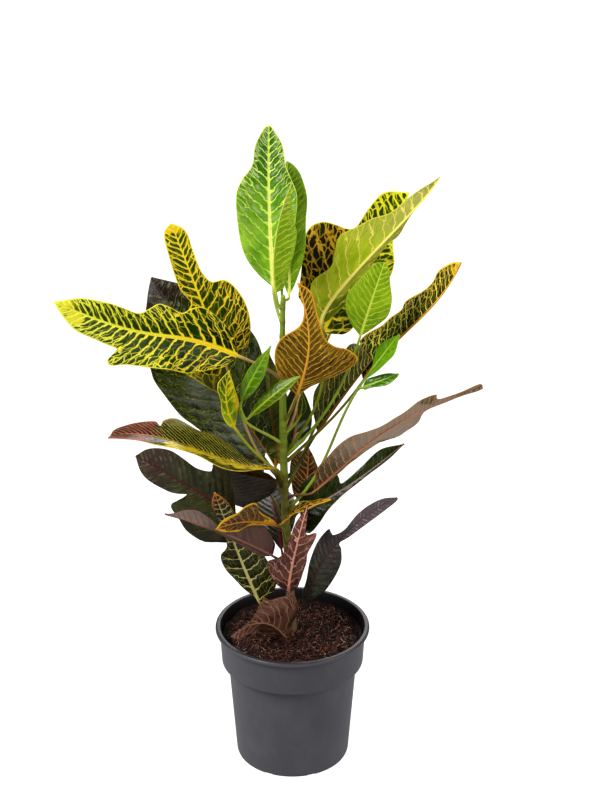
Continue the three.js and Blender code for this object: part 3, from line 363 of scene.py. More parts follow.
def leafPiece(row, number, stalks):
    size, look = leafSizes, row["look"]
    rng = np.random.default_rng(size["seed"] + number)
    c = controls(row["spine"])
    fine = curve(c, np.linspace(0, 1, size["lengthSteps"]))
    length = float(np.linalg.norm(np.diff(fine, axis=0), axis=1).sum())
    margins = [marginOf(row[hand], length) for hand in ("left", "right")]
    facing, fold = unit(row["faces"]), math.radians(row.get("fold", size["fold"]))
    waveHeight, waveCount = row.get("wave", size["wave"])

    # rows of the grid follow the side ribs, closer together where the margins run far out
    even = np.linspace(0, 1, size["evenSteps"])
    progress = even.copy()
    for root, along, out in margins:
        run = np.concatenate([[0], np.cumsum(np.hypot(np.diff(along) * length, np.diff(out)))])
        progress += np.interp(even, root, run / run[-1])
    widest = max(out.max() for root, along, out in margins)
    rowCount = int(np.clip(length / size["rowStep"], *size["rowRange"]))
    t = np.interp(np.linspace(0, 1, rowCount + 1), progress / (1 + len(margins)), even)
    t[0], t[-1] = size["bladeEnds"]
    columnCount = int(np.clip(widest / size["columnStep"], *size["columnRange"]))
    share = np.concatenate([np.linspace(0, 1 - size["rimStrip"] / widest, columnCount), [1.0]])

    grid = np.zeros((len(t), 2 * len(share) - 1, 3))
    alongMm, outMm, edgeMm, signed = (np.zeros(grid.shape[:2]) for _ in range(4))
    middle = len(share) - 1
    for hand, sign in ((0, -1), (1, 1)):
        root, along, out = margins[hand]
        end, reach = np.interp(t, root, along), np.maximum(np.interp(t, root, out), size["leastReach"])
        for j, q in enumerate(share):
            place, away = t + (end - t) * q ** size["ribBow"], reach * q
            inside = np.clip(place, 0, 1)
            way = heading(c, inside)
            point = curve(c, inside) + way * ((place - inside) * length)[:, None]
            normal = unit(facing - way * (way @ facing)[:, None])
            sideways = np.cross(way, normal) * (sign * away * math.cos(fold))[:, None]
            swing = np.sin(2 * math.pi * (waveCount * place + size["waveShift"] * hand))
            wave = waveHeight * q ** 2 * np.minimum(1, reach / size["waveFrom"]) * swing
            column = middle + sign * j
            grid[:, column] = point + sideways + normal * (away * math.sin(fold) + wave)[:, None]
            alongMm[:, column], outMm[:, column] = place * length, sign * away
            edgeMm[:, column], signed[:, column] = (1 - q) * reach, sign * q

    # side ribs: one every so many millimetres, measured half-way out, closer in the strap at the tip
    halfway = np.searchsorted(share, size["ribAt"])
    phase, step = np.zeros_like(signed), np.zeros_like(signed)
    spacing = np.interp(t, size["ribStations"], look["ribSpacing"])
    for hand, sign in ((0, -1), (1, 1)):
        ends = grid[:, middle + sign * halfway]
        run = np.linalg.norm(np.diff(ends, axis=0), axis=1) / spacing[1:]
        count = np.concatenate([[0], np.cumsum(run)]) + size["ribStart"][hand]
        columns = [middle + sign * j for j in range(1 - hand, middle + 1)]
        phase[:, columns] = count[:, None] - look["slant"] * np.abs(outMm[:, columns]) / spacing[:, None]
        pace = np.linalg.norm(np.gradient(grid[:, columns], axis=0), axis=2)
        step[:, columns] = pace / np.maximum(np.gradient(count)[:, None], 1e-3)

    # the blade swells between the ribs and crinkles towards the margin
    down, across = np.gradient(grid, axis=0), np.gradient(grid, axis=1)
    normal = unit(np.cross(down, across))
    normal *= np.sign(np.sum(normal.mean(axis=(0, 1)) * facing) or 1)
    crest = 1 - (1 - np.abs(((phase + 0.5) % 1) - 0.5) * 2) ** size["crestPower"]
    quiet = (np.clip(np.abs(signed) * size["quietRib"], 0, 1) * np.clip(edgeMm / size["quietEdge"], 0, 1)
             * np.clip(step / size["quietStep"], 0, 1))
    swell = size["quilt"] * look["quilt"] * crest * quiet
    turns = rng.uniform(0, size["anyTurn"], 3)
    crinkle = sum(height * np.sin(alongMm / run + turn + lean * signed)
                  for (run, lean, height), turn in zip(size["ripples"], turns))
    run, wide, height = size["roll"]
    crinkle = crinkle + height * np.sin(alongMm / run + outMm / wide + turns[2])
    swell += size["crinkle"] * np.abs(signed) * np.clip(widest / size["crinkleFrom"], 0, 1) * crinkle
    thick = size["thickness"] * np.where(np.abs(signed) == 1, size["rimShare"], 1)[..., None]
    sheet = grid + normal * swell[..., None]
    upper, under = sheet + normal * thick / 2, sheet - normal * thick / 2

    patch = np.zeros_like(signed)
    for at, out, radius in look["patches"]:
        near = np.hypot(alongMm - at * length, outMm - out) / radius
        patch = np.maximum(patch, np.clip(size["patchSoft"] - near, 0, 1))
    ribHalf = look["ribWidth"] * (1 - size["ribTaper"] * np.clip(alongMm / length, 0, 1))
    ribNear = np.abs(outMm) / ribHalf
    rows, columns = signed.shape
    count = rows * columns

    def index(i, j, side):
        return side * count + i * columns + j

    def both(values):
        return np.concatenate([values.ravel(), values.ravel()])

    faces = []
    for i in range(rows - 1):
        for j in range(columns - 1):
            quad = [index(i, j, 0), index(i, j + 1, 0), index(i + 1, j + 1, 0), index(i + 1, j, 0)]
            faces.append(tuple(quad))
            faces.append(tuple(k + count for k in reversed(quad)))
    ring = [(i, 0) for i in range(rows - 1)] + [(rows - 1, j) for j in range(columns - 1)]
    ring += [(i, columns - 1) for i in range(rows - 1, 0, -1)] + [(0, j) for j in range(columns - 1, 0, -1)]
    for a, b in zip(ring, ring[1:] + ring[:1]):
        faces.append((index(*a, 0), index(*b, 0), index(*b, 1), index(*a, 1)))
    a, b, d = upper[0, middle], upper[0, middle + 1], upper[1, middle]
    if np.dot(np.cross(b - a, d - a), normal[0, middle]) < 0:
        faces = [tuple(reversed(f)) for f in faces]

    side, zero = np.concatenate([np.ones(count), np.zeros(count)]), np.zeros(2 * count)
    marks = [np.stack([both(alongMm), both(outMm), both(edgeMm)], 1),
             np.stack([both(phase + size["cellShift"] * number), both(signed), both(step)], 1),
             np.stack([side, both(patch), both(ribNear)], 1),
             np.stack([both(alongMm / length), zero, zero], 1)]

    # stalk, which runs on under the blade as the midrib's round ridge
    stalk = stalkOf(row, heading(c, 0)[0], stalks)
    stalks[row["name"]] = stalk
    before = np.linspace(0, 1, size["stalkRows"])[:-1]
    ridge = np.linspace(0, size["ridgeEnd"], size["ridgeRows"])
    stalkPoints = curve(stalk, before)
    stalkLength = np.linalg.norm(np.diff(np.vstack([stalkPoints, fine[:1]]), axis=0), axis=1).sum()
    centreLine = np.stack([np.interp(ridge, t, sheet[:, middle, k]) for k in range(3)], 1)
    centreLine[0] = fine[0]
    ridgeNormal = unit(facing - heading(c, ridge) * (heading(c, ridge) @ facing)[:, None])
    ridgeRadius = size["stalkRadius"] * look["ribWidth"] / size["ridgeFull"]
    ridgeRadius = ridgeRadius * (1 - ridge) ** size["ridgeTaper"] * size["ridgeShare"] + size["ridgeLeast"]
    steep, most = size["ridgeSunk"]
    centreLine = centreLine - ridgeNormal * (ridgeRadius * np.clip(ridge * steep, 0, most))[:, None]
    (seat, seatPower), (neck, neckPower) = size["seatFlare"], size["neckFlare"]
    stalkRadii = size["stalkRadius"] * (1 + seat * (1 - before) ** seatPower + neck * before ** neckPower)
    stalkRadii = stalkRadii + (ridgeRadius[0] - stalkRadii[-1]) * before ** 3
    path = np.vstack([stalkPoints, centreLine])
    sides = size["tubeSides"]
    tubePoints, tubeFaces = tube(path, np.concatenate([stalkRadii, ridgeRadius]), sides, ridgeNormal[0])
    reach = np.concatenate([(before - 1) * stalkLength, ridge * length])
    reach = np.concatenate([reach[:1], np.repeat(reach, sides), reach[-1:]])
    nearest = (np.maximum(reach, 0) / length * size["ridgeRows"]).astype(int)
    nearest = np.clip(nearest, 0, size["ridgeRows"] - 1)
    centres = np.vstack([path[:1], np.repeat(path, sides, axis=0), path[-1:]])
    above = np.sum((tubePoints - centres) * ridgeNormal[nearest], 1) > 0
    zero = np.zeros(len(tubePoints))
    noEdge, noRib, noStep = size["bareStalk"]
    tubeMarks = [np.stack([reach, zero, zero + noEdge], 1),
                 np.stack([zero + noRib, zero, zero + noStep], 1),
                 np.stack([above * 1.0, zero, zero], 1),
                 np.stack([reach / length, zero, zero], 1)]
    faces += [tuple(k + 2 * count for k in f) for f in tubeFaces]
    points = np.vstack([upper.reshape(-1, 3), under.reshape(-1, 3), tubePoints])
    marks = [np.vstack(pair) for pair in zip(marks, tubeMarks)]
    return points, faces, dict(zip(("leafPlace", "ribPlace", "leafMark", "leafTone"), marks))


# Leaf skins: waxy croton leaf. "patches" are yellow or brown places: share along, millimetres out, radius.
# "tip" and "tipGround" are what the tones turn to along the leaf, between the two shares in "turn". Widths,
# spacings and sizes are millimetres: half widths of ribs and veins, and the size of a cell of the net.
plain = {
    "ribSpacing": [10, 10, 6.5, 5], "ribWidth": 1.8, "veinWidth": 0.6, "netSize": 6.0, "netRows": 1.6,
    "netWidth": 0.3, "net": 0.5, "netFrom": 0.25, "fork": 0.3, "halo": 1.6, "glow": 0.2, "edgeWidth": 0.7,
    "patches": [], "patchCover": 0.9, "quilt": 1.0, "gloss": 0.15, "underGloss": 0.42, "wander": 1.0,
    # the two values at the end are a painted highlight on the upper side: its strength and its tone
    "specks": 0.0, "shine": 0.32, "flare": 0.0, "turn": [0.2, 0.9], "deep": 0.5, "slant": 0.35, "paintedSheen": 0.0,
    "paintedSheenTone": "#8c8880",
}
# In skins and leafLooks: the tones of the upper side, those of the under side, and what else differs.
tones = ["ground", "shade", "vein", "rib", "edge", "patch"]
underTones = ["under" + tone.capitalize() for tone in tones]
skins = {
    "lime": ["#5f9010 #3a6806 #8fb42c #e2ea70 #a2c62c #c8cc3c",
        "#7c9c24 #648418 #b2c850 #ccd86c #9cbc3c #b8c040",
        {"stalk": "#a4b444", "netWidth": 0.35, "net": 0.35}],
    "young": ["#8cac14 #6c8c0a #bcd444 #c6d654 #94b028 #b4b840",
        "#9cba1a #7a980c #c8dc4c #d8e460 #94ac30 #b4b848",
        {"stalk": "#98b03c", "ribSpacing": [8, 7, 6, 5], "veinWidth": 0.45, "net": 0.25, "quilt": 0.6,
         "shine": 0.2}],
    "gold": ["#2a4604 #162803 #e6c42a #f4d424 #f0dc28 #f0e42c",
        "#58601c #464e16 #c0b038 #d4c04a #d0b830 #ccbc38",
        {"stalk": "#bc9c6c", "tip": "#f4f038", "tipGround": "#344c05", "ribSpacing": [16, 14, 8.5, 7],
         "ribWidth": 2.4, "veinWidth": 1.2, "netSize": 8.0, "netRows": 1.5, "netWidth": 0.55, "net": 1.0,
         "netFrom": 0.42, "fork": 0.24, "halo": 2.6, "edgeWidth": 1.0, "wander": 0.9, "shine": 0.16,
         "flare": 0.6}],
    "ember": ["#262e08 #181f06 #c89c20 #d89420 #dca81e #d0ac1c",
        "#54402a #403222 #b07c34 #c88028 #d0941e #c49a24",
        {"stalk": "#848028", "veinWidth": 0.7, "netWidth": 0.4, "net": 0.7, "edgeWidth": 1.0}],
    "olive": ["#44580c #34480a #b8b434 #d8cc58 #ccbc30 #c8c030",
        "#c4d034 #a0b41c #f0e06c #f8ec84 #dcd040 #7f9c10",
        {"stalk": "#94a02c", "ribSpacing": [14, 12, 8, 6], "ribWidth": 2.6, "veinWidth": 0.95, "net": 0.3,
         "shine": 0.2}],
    "amber": ["#463c0c #342e0a #c49a24 #d89c24 #dca81e #d0a420",
        "#7e6018 #50380c #e8ba44 #e8ac40 #e4a428 #b07818",
        {"stalk": "#84802c", "ribSpacing": [8, 8, 6, 5], "netWidth": 0.35, "net": 0.35, "edgeWidth": 1.3,
         "shine": 0.16, "slant": 0.5}],
    "brown": ["#1c1c08 #121206 #4e4618 #6c4c1c #5c4c18 #4e4618",
        "#3c2c06 #1c1402 #705814 #644418 #4c3a18 #3c3414",
        {"stalk": "#5c4824", "shine": 0.08}],
    "mauve": ["#342426 #281c1e #8a5a48 #a8643c #9c643a #7c5438",
        "#5a4442 #443434 #9c6854 #b47450 #a8683c #6c5038",
        {"stalk": "#7c5838", "net": 0.3}],
    "rust": ["#3c2820 #30201a #8a6048 #9c6c4c #7c5440 #7c5440",
        "#583426 #442a20 #8c6448 #a47c58 #7c5040 #7c5040",
        {"stalk": "#743c2c", "net": 0.35}],
    "plum": ["#34301c #201c12 #3c3420 #6c2028 #40342c #4c4424",
        "#3c3034 #2e2629 #5c464a #6c4440 #504044 #4c4030",
        {"stalk": "#4c3028", "paintedSheen": 0.5, "paintedSheenTone": "#8c8478", "net": 0.15, "glow": 0.0, "quilt": 1.5,
         "gloss": 0.22, "shine": 0.35, "deep": 0.9}],
    "night": ["#2c380e #161e08 #444c18 #9c6a1c #4c4c1a #586018",
        "#544640 #403632 #7c6450 #9c6c44 #6c5444 #5e5636",
        {"stalk": "#545826", "paintedSheen": 0.25, "paintedSheenTone": "#6c7868", "veinWidth": 0.45, "netWidth": 0.35,
         "net": 0.3, "glow": 0.05, "gloss": 0.18, "wander": 1.3, "shine": 0.38, "deep": 0.8}],
}
# what differs from the skin on single leaves
leafLooks = {
    "crown_tall": ["#9ccc30 #6aa416 #cce25c #f0f284 #bcdc3c", "", {"tip": "#dcf068", "tipGround": "#387008",
        "turn": [0.35, 0.7], "paintedSheen": 0.6, "paintedSheenTone": "#dcecc0", "ribSpacing": [14, 12, 8, 6],
        "ribWidth": 2.8, "veinWidth": 0.75, "netWidth": 0.3, "net": 0.25, "netFrom": 0.3, "quilt": 1.5,
        "gloss": 0.14, "wander": 1.1, "shine": 0.55, "flare": 1.3, "deep": 0.9, "slant": 0.5}],
    "crown_back": ["#84ac1a #5c880e #b8d04c", "", {}],
    "crown_young": ["- - - - - #b08c6c", "#84a414 #6a8a0c #c0d050 - - #b08c6c", {"patches": [[0.8, 5, 10]],
        "ribWidth": 1.3}],
    "left_long": ["- - #f0d834", "", {"patches": [[1.0, 0, 15], [0.93, -6, 8]], "tip": "#fafa50",
        "ribSpacing": [13, 12, 9, 7], "ribWidth": 3.0, "veinWidth": 1.25, "shine": 0.1, "slant": 0.45}],
    "left_upper": ["#34500a #1e3206 #ecc434 - #f0cc2c #f0cc24", "", {"patches": [[1.0, 0, 10]],
        "tip": "#f4dc34", "ribSpacing": [13, 12, 7, 6], "ribWidth": 2.1, "veinWidth": 1.0, "netSize": 7.0,
        "netWidth": 0.48}],
    "right_gold": ["#3c5408 #243a06 #f4dc44 - - #30220a", "- - - - - #4c4018",
        {"patches": [[0.3, -50, 34], [0.5, -62, 36], [0.62, -40, 22]], "patchVein": "#fcc840",
        "ribSpacing": [16, 13, 9, 7], "veinWidth": 1.4, "netRows": 1.4, "netWidth": 0.75, "patchCover": 0.8,
        "slant": 0.15}],
    "right_long": ["#3c4a14 #26300c #ecdc5c - #ecac3c #e0b028",
        "#404812 #2a300a #ecbc50 #dc9830 #dc9830 #e0b028", {"patches": [[0.97, 10, 16]], "tip": "#ffd454",
        "turn": [0.4, 0.8], "ribSpacing": [12, 10, 8, 6], "veinWidth": 0.6, "glow": 0.05, "edgeWidth": 1.4,
        "shine": 0.15, "slant": 0.1}],
    "right_olive": ["", "- - - - - #6c820e", {"patches": [[0.12, -12, 26], [0.22, -32, 20]],
        "underTipGround": "#aaaa5c", "turn": [0.45, 0.8], "ribSpacing": [20, 17, 12, 8], "veinWidth": 1.1,
        "patchCover": 1.0, "shine": 0.12}],
    "young_yellow": ["#b8d428 #88a81c #fcf448 - - #ffe620",
        "#b0cc20 #7c9c14 #e4dc3c #e8e048 #e8d830 #ffee28",
        {"patches": [[0.35, 14, 14], [0.55, 14, 16], [0.8, 12, 14]], "stalk": "#a4ac3c", "veinWidth": 0.8,
        "net": 0.1, "patchCover": 1.0, "flare": 0.0}],
    "left_flat": ["#30360e #1e2409 #ccc24c #b88c20 #d4b424 #fade34", "",
        {"patches": [[0.12, -9, 13], [0.25, -10, 14], [0.38, -12, 15], [0.5, -14, 15], [0.6, -16, 13]],
        "tip": "#d8743c", "tipGround": "#3e2e2a", "turn": [0.7, 0.78], "ribSpacing": [5.6, 5.6, 5.6, 6],
        "veinWidth": 0.4, "net": 0.15, "shine": 0.24, "slant": 0.8}],
    "left_dark": ["#3e4a1c #171e09 #8c9434", "", {"tip": "#6c4c30", "tipGround": "#2a2422",
        "turn": [0.75, 0.9], "paintedSheen": 0.75, "paintedSheenTone": "#848f7a", "ribSpacing": [16, 15, 10, 8],
        "ribWidth": 1.0, "veinWidth": 0.4, "quilt": 0.7, "specks": 0.9, "shine": 0.45}],
    "left_purple": ["#4e4e2c #34341c #4c4a28", "", {"tipGround": "#4a3630", "turn": [0.6, 0.85],
        "paintedSheenTone": "#8c8c74"}],
    "young_left": ["#749810 #4a7008 #7c9c1c #8cac28 #7c9c1c", "", {"net": 0.1, "glow": 0.0, "shine": 0.6}],
    "young_strap": ["#5c7a0c #445f08 #84942c #98a438 #84942c", "", {"net": 0.1, "glow": 0.0}],
    "shoot_upper": ["#72a010 #4c7c08 #7ca61c #a0c040 #84ac20", "", {"net": 0.1, "glow": 0.0}],
    "shoot_lower": ["#568208 #3a6404 #749c18 #8cac28 #749c18", "", {"net": 0.1, "glow": 0.0}],
    "curl_small": ["#3c4a0a #2a3806 #5c6c18 #7c8c28 #6c7c20", "", {}],
    "left_low": ["#424a18 #242a0c #e8d888 #f0e494 #4c4c18", "", {"tip": "#d88c4c", "tipGround": "#3c2410",
        "turn": [0.86, 1.0], "ribSpacing": [15, 14, 10, 6], "ribWidth": 2.2, "veinWidth": 0.85, "net": 0.2,
        "glow": 0.05, "wander": 0.8, "flare": 0.4, "slant": 0.2}],
    "left_mauve": ["", "#664a40 #4a3430 #745448 #8c6254 #5a4040", {"underTipGround": "#7c6c64",
        "turn": [0.3, 0.6], "net": 0.1, "edgeWidth": 0.4}],
    "foot_mauve": ["", "#7c5040 #54322c #e8b09c #e8a890 #5c3834", {"ribSpacing": [14, 14, 12, 9],
        "veinWidth": 0.7, "wander": 1.4, "flare": 0.5}],
    "foot_front": ["#5c3c28 #42281c", "#8c6250 #5c3a30 #c89c80 #a07a5c #80543e", {}],
    "front_gold": ["- - - - #f0c024", "#664a2c #443020 #b08438 - #e8b428 #f8cc28",
        {"patches": [[0.1, 2, 8], [0.22, 5, 9], [0.36, 8, 7], [0.2, -3, 8]], "edgeWidth": 2.2}],
    "right_broad": ["- - - - - #6c6230", "#6e5e3c #544628 #e4ac80 #d89468 #c09040 #6c6428",
        {"patches": [[1.0, 4, 14], [0.92, 9, 11], [0.82, 14, 9]], "underTipGround": "#b8a490",
        "turn": [0.14, 0.42]}],
    "right_deep": ["#464c1a #242a0c #bcac50 - #a8885c", "#8c7a64 #685a4a #b08c70", {"veinWidth": 0.6,
        "shine": 0.25}],
    "right_dark": ["#303c10 #182009 - #a08078", "", {"paintedSheen": 0.45, "shine": 0.25}],
    "rear_orange": ["#4c4c1c #343614 #d07c48 #e08c54", "", {"ribSpacing": [6, 6, 6, 6], "veinWidth": 0.7}],
    "rear_left": ["#74802c #4c581e #949c3c", "", {}],
    "right_low": ["#646656 #44463a #403c36 #6c4a50", "", {"tip": "#54484a", "tipGround": "#605456",
        "turn": [0.5, 0.75], "paintedSheen": 0.45, "paintedSheenTone": "#a49a96", "quilt": 1.1, "shine": 0.5}],
}
# How the leaf's pattern is drawn. Noises are a size in millimetres and a detail. Pairs are where a step
# starts and ends, and a third value is what it starts from.
pattern = {
    "noises": [[9, 3.0], [16, 2.0], [30, 4.0], [2.5, 2.0]], "forkStart": [-1.0, 1.1], "forkEnd": 0.45,
    "veinTaper": -0.65, "veinEdge": [0.7, 1.4], "flareEnd": 0.22, "cellSway": 1.6, "cellRandom": 0.85,
    "netEdge": [0.5, 1.4], "netOuter": [-0.15, 0.3, 0.15], "netBroken": [0.34, 0.5, 0.45], "patchCells": 0.7,
    "patchEdge": [0.8, 1.25], "rimSway": -1.6, "rimEdge": [-0.3, 0.5], "ribEdge": [0.75, 1.1],
    "shadeCells": 0.25, "shadeEdge": [0.45, 0.8], "fleck": [3.2, 1.0], "fleckCloud": 0.35,
    # the three streak values below shape the painted highlight streaks on the upper side
    "fleckEdge": [0.84, 0.9], "paintedSheenEdge": [0.2, 0.42], "paintedSheenGaps": [0.46, 0.62],
    "paintedSheenFar": [0.25, 0.75, 0.05], "turnSway": 0.16,
    "turnShift": 0.08, "stalkSide": 2.0, "stalkEdge": [-8.0, 6.0], "gritRough": 0.12, "gritRelief": 0.25,
    "netRelief": 0.4, "underRelief": 1.0, "upperRelief": -0.6, "bump": 0.5, "ior": 1.45,
}


def leafMaterial(name, look):
    material, tree = freshMaterial(name)
    place, rib, mark, tone = (put(tree, "ShaderNodeAttribute", out="Vector", attribute_name=label)
                              for label in ("leafPlace", "ribPlace", "leafMark", "leafTone"))
    along, away, edge = put(tree, "ShaderNodeSeparateXYZ", [place]).node.outputs
    phase, signed, step = put(tree, "ShaderNodeSeparateXYZ", [rib]).node.outputs
    side, patch, ribNear = put(tree, "ShaderNodeSeparateXYZ", [mark]).node.outputs
    share = put(tree, "ShaderNodeSeparateXYZ", [tone])
    coords = put(tree, "ShaderNodeTexCoord", out="Object")
    # wander and sway bend the ribs, cloud shades the blade and grit roughens it
    wander, sway, cloud, grit = (put(tree, "ShaderNodeTexNoise", [coords, None, 1 / (size * mm), detail])
                                 for size, detail in pattern["noises"])
    bend = put(tree, "ShaderNodeMath", [wander, 0.5], operation="SUBTRACT")
    bent = put(tree, "ShaderNodeMath", [bend, look["wander"], phase], **timesPlus)
    nearest = put(tree, "ShaderNodeMath", [bent, 0.5], operation="PINGPONG")
    reach = put(tree, "ShaderNodeMath", [signed], operation="ABSOLUTE")
    # each side rib forks in two on its way to the margin
    start = put(tree, "ShaderNodeMath", [sway, *pattern["forkStart"]], **timesPlus)
    parted = put(tree, "ShaderNodeMath", [reach, start], operation="SUBTRACT")
    parted = put(tree, "ShaderNodeMapRange", [parted, 0.0, pattern["forkEnd"], 0.0, look["fork"]])
    lateral = put(tree, "ShaderNodeMath", [nearest, parted], operation="SUBTRACT")
    lateral = put(tree, "ShaderNodeMath", [lateral], operation="ABSOLUTE")
    lateral = put(tree, "ShaderNodeMath", [lateral, step], **times)
    width = put(tree, "ShaderNodeMath", [reach, pattern["veinTaper"] * look["veinWidth"], look["veinWidth"]],
                **timesPlus)
    flare = put(tree, "ShaderNodeMapRange", [reach, 0.0, pattern["flareEnd"], look["flare"], 0.0], **smooth)
    width = put(tree, "ShaderNodeMath", [width, flare], operation="ADD")
    ratio = put(tree, "ShaderNodeMath", [lateral, width], operation="DIVIDE")
    vein = put(tree, "ShaderNodeMapRange", [ratio, *pattern["veinEdge"], 1.0, 0.0], **smooth)
    glow = put(tree, "ShaderNodeMapRange", [lateral, 0.0, look["halo"], look["glow"], 0.0], **smooth)
    # net of finer veins between the ribs
    cellsDown = put(tree, "ShaderNodeMath", [bent, look["netRows"]], **times)
    cellsOut = put(tree, "ShaderNodeMath", [sway, pattern["cellSway"]], **times)
    cellsOut = put(tree, "ShaderNodeMath", [away, 1 / look["netSize"], cellsOut], **timesPlus)
    cells = put(tree, "ShaderNodeCombineXYZ", [cellsDown, cellsOut])
    cellSet = {"Vector": cells, "Scale": 1.0, "Randomness": pattern["cellRandom"]}
    mesh = put(tree, "ShaderNodeTexVoronoi", cellSet, out="Distance", voronoi_dimensions="2D",
               feature="DISTANCE_TO_EDGE")
    mesh = put(tree, "ShaderNodeMath", [mesh, look["netSize"]], **times)
    inner, outer = (factor * look["netWidth"] for factor in pattern["netEdge"])
    net = put(tree, "ShaderNodeMapRange", [mesh, inner, outer, look["net"], 0.0], **smooth)
    # the net fades towards the midrib and comes and goes
    before, after, least = pattern["netOuter"]
    first, last = look["netFrom"] + before, look["netFrom"] + after
    fade = put(tree, "ShaderNodeMapRange", [reach, first, last, least, 1.0])
    broken = put(tree, "ShaderNodeMapRange", [sway, *pattern["netBroken"], 1.0])
    fade = put(tree, "ShaderNodeMath", [fade, broken], **times)
    net = put(tree, "ShaderNodeMath", [net, fade], **times)
    # each cell of the net has a tone of its own, and whole cells turn to the patch colour
    cellTone = put(tree, "ShaderNodeTexVoronoi", cellSet, out="Color", voronoi_dimensions="2D")
    cellTone = put(tree, "ShaderNodeSeparateColor", [cellTone])
    patchEdge = put(tree, "ShaderNodeMath", [cellTone, pattern["patchCells"], patch], **timesPlus)
    spread = put(tree, "ShaderNodeMapRange", [patchEdge, *pattern["patchEdge"], 0.0, look["patchCover"]],
                 **smooth)
    rimEdge = put(tree, "ShaderNodeMath", [wander, pattern["rimSway"] * look["edgeWidth"], edge],
                  **timesPlus)
    first, last = pattern["rimEdge"]
    rim = put(tree, "ShaderNodeMapRange", [rimEdge, first, last * look["edgeWidth"], 1.0, 0.0], **smooth)
    midrib = put(tree, "ShaderNodeMapRange", [ribNear, *pattern["ribEdge"], 1.0, 0.0], **smooth)
    shade = put(tree, "ShaderNodeMath", [cellTone, pattern["shadeCells"], cloud], **timesPlus)
    shade = put(tree, "ShaderNodeMapRange", [shade, *pattern["shadeEdge"]])
    if look["specks"]:
        # flecks in the patch colour, gathered where the clouds are light
        size, detail = pattern["fleck"]
        fleck = put(tree, "ShaderNodeTexNoise", [coords, None, 1 / (size * mm), detail])
        fleck = put(tree, "ShaderNodeMath", [cloud, pattern["fleckCloud"], fleck], **timesPlus)
        fleck = put(tree, "ShaderNodeMapRange", [fleck, *pattern["fleckEdge"], 0.0, look["specks"]])
        spread = put(tree, "ShaderNodeMath", [spread, fleck], operation="MAXIMUM")

    # painted highlight in short light streaks on the crowns between the ribs of the upper side, standing in
    # for gloss
    streak = put(tree, "ShaderNodeMapRange", [nearest, *pattern["paintedSheenEdge"]], **smooth)
    gaps = put(tree, "ShaderNodeMapRange", [wander, *pattern["paintedSheenGaps"], 0.0, look["paintedSheen"]])
    farther = put(tree, "ShaderNodeMapRange", [share, *pattern["paintedSheenFar"], 1.0])
    for factor in (gaps, farther, side):
        streak = put(tree, "ShaderNodeMath", [streak, factor], **times)

    # what each tone turns to along the leaf
    late = put(tree, "ShaderNodeMath", [sway, pattern["turnSway"], share], **timesPlus)
    first, last = (turn + pattern["turnShift"] for turn in look["turn"])
    late = put(tree, "ShaderNodeMapRange", [late, first, last])
    turned = {"ground": "tipGround", "shade": "tipGround", "vein": "tip", "rib": "tip", "edge": "tip",
              "underGround": "underTipGround", "underShade": "underTipGround"}
    colours = {}
    for tone in tones + underTones:
        colours[tone] = linear(look[tone])
        if turned.get(tone) in look:
            toned = {0: late, 6: colours[tone], 7: linear(look[turned[tone]])}
            colours[tone] = put(tree, "ShaderNodeMix", toned, **mixed)
    for tone, underTone in zip(tones, underTones):
        sides = {0: side, 6: colours[underTone], 7: colours[tone]}
        colours[tone] = put(tree, "ShaderNodeMix", sides, **mixed)
    # the tone of the painted highlight streaks
    colours["paintedSheen"] = linear(look["paintedSheenTone"])
    if "patchVein" in look:
        toned = {0: patch, 6: colours["vein"], 7: linear(look["patchVein"])}
        colours["vein"] = put(tree, "ShaderNodeMix", toned, **mixed)
    # layers over the shade tone: ground, painted highlight streaks, patches, veins, edge and midrib
    colour = colours["shade"]
    for tone, factor in (("ground", shade), ("paintedSheen", streak), ("patch", spread), ("vein", glow),
                         ("vein", net), ("vein", vein), ("edge", rim), ("rib", midrib)):
        colour = put(tree, "ShaderNodeMix", {0: factor, 6: colour, 7: colours[tone]}, **mixed)
    outward = put(tree, "ShaderNodeMath", [away], operation="ABSOLUTE")
    outward = put(tree, "ShaderNodeMath", [outward, pattern["stalkSide"], along], **timesPlus)
    onBlade = put(tree, "ShaderNodeMapRange", [outward, *pattern["stalkEdge"]], **smooth)
    colour = put(tree, "ShaderNodeMix", {0: onBlade, 6: linear(look["stalk"]), 7: colour}, **mixed)

    rough = put(tree, "ShaderNodeMapRange", [side, 0.0, 1.0, look["underGloss"], look["gloss"]])
    rough = put(tree, "ShaderNodeMath", [grit, pattern["gritRough"], rough], **timesPlus)
    # veins lie sunk in the upper side and stand out below
    relief = put(tree, "ShaderNodeMath", [net, pattern["netRelief"], vein], **timesPlus)
    sense = put(tree, "ShaderNodeMapRange", [side, 0.0, 1.0, pattern["underRelief"], pattern["upperRelief"]])
    relief = put(tree, "ShaderNodeMath", [relief, sense], **times)
    relief = put(tree, "ShaderNodeMath", [grit, pattern["gritRelief"], relief], **timesPlus)
    bump = put(tree, "ShaderNodeBump",
               {"Height": relief, "Strength": pattern["bump"], "Distance": look["deep"] * mm})
    wax = {"Base Color": colour, "Roughness": rough, "Normal": bump, "IOR": pattern["ior"],
           "Specular IOR Level": look["shine"]}
    put(tree, "ShaderNodeOutputMaterial", [put(tree, "ShaderNodeBsdfPrincipled", wax)], out=None)
    return material


def lookOf(upper, under, rest):
    # "-" leaves a tone as it is
    named = list(zip(tones, upper.split())) + list(zip(underTones, under.split()))
    return {**{tone: code for tone, code in named if code != "-"}, **rest}


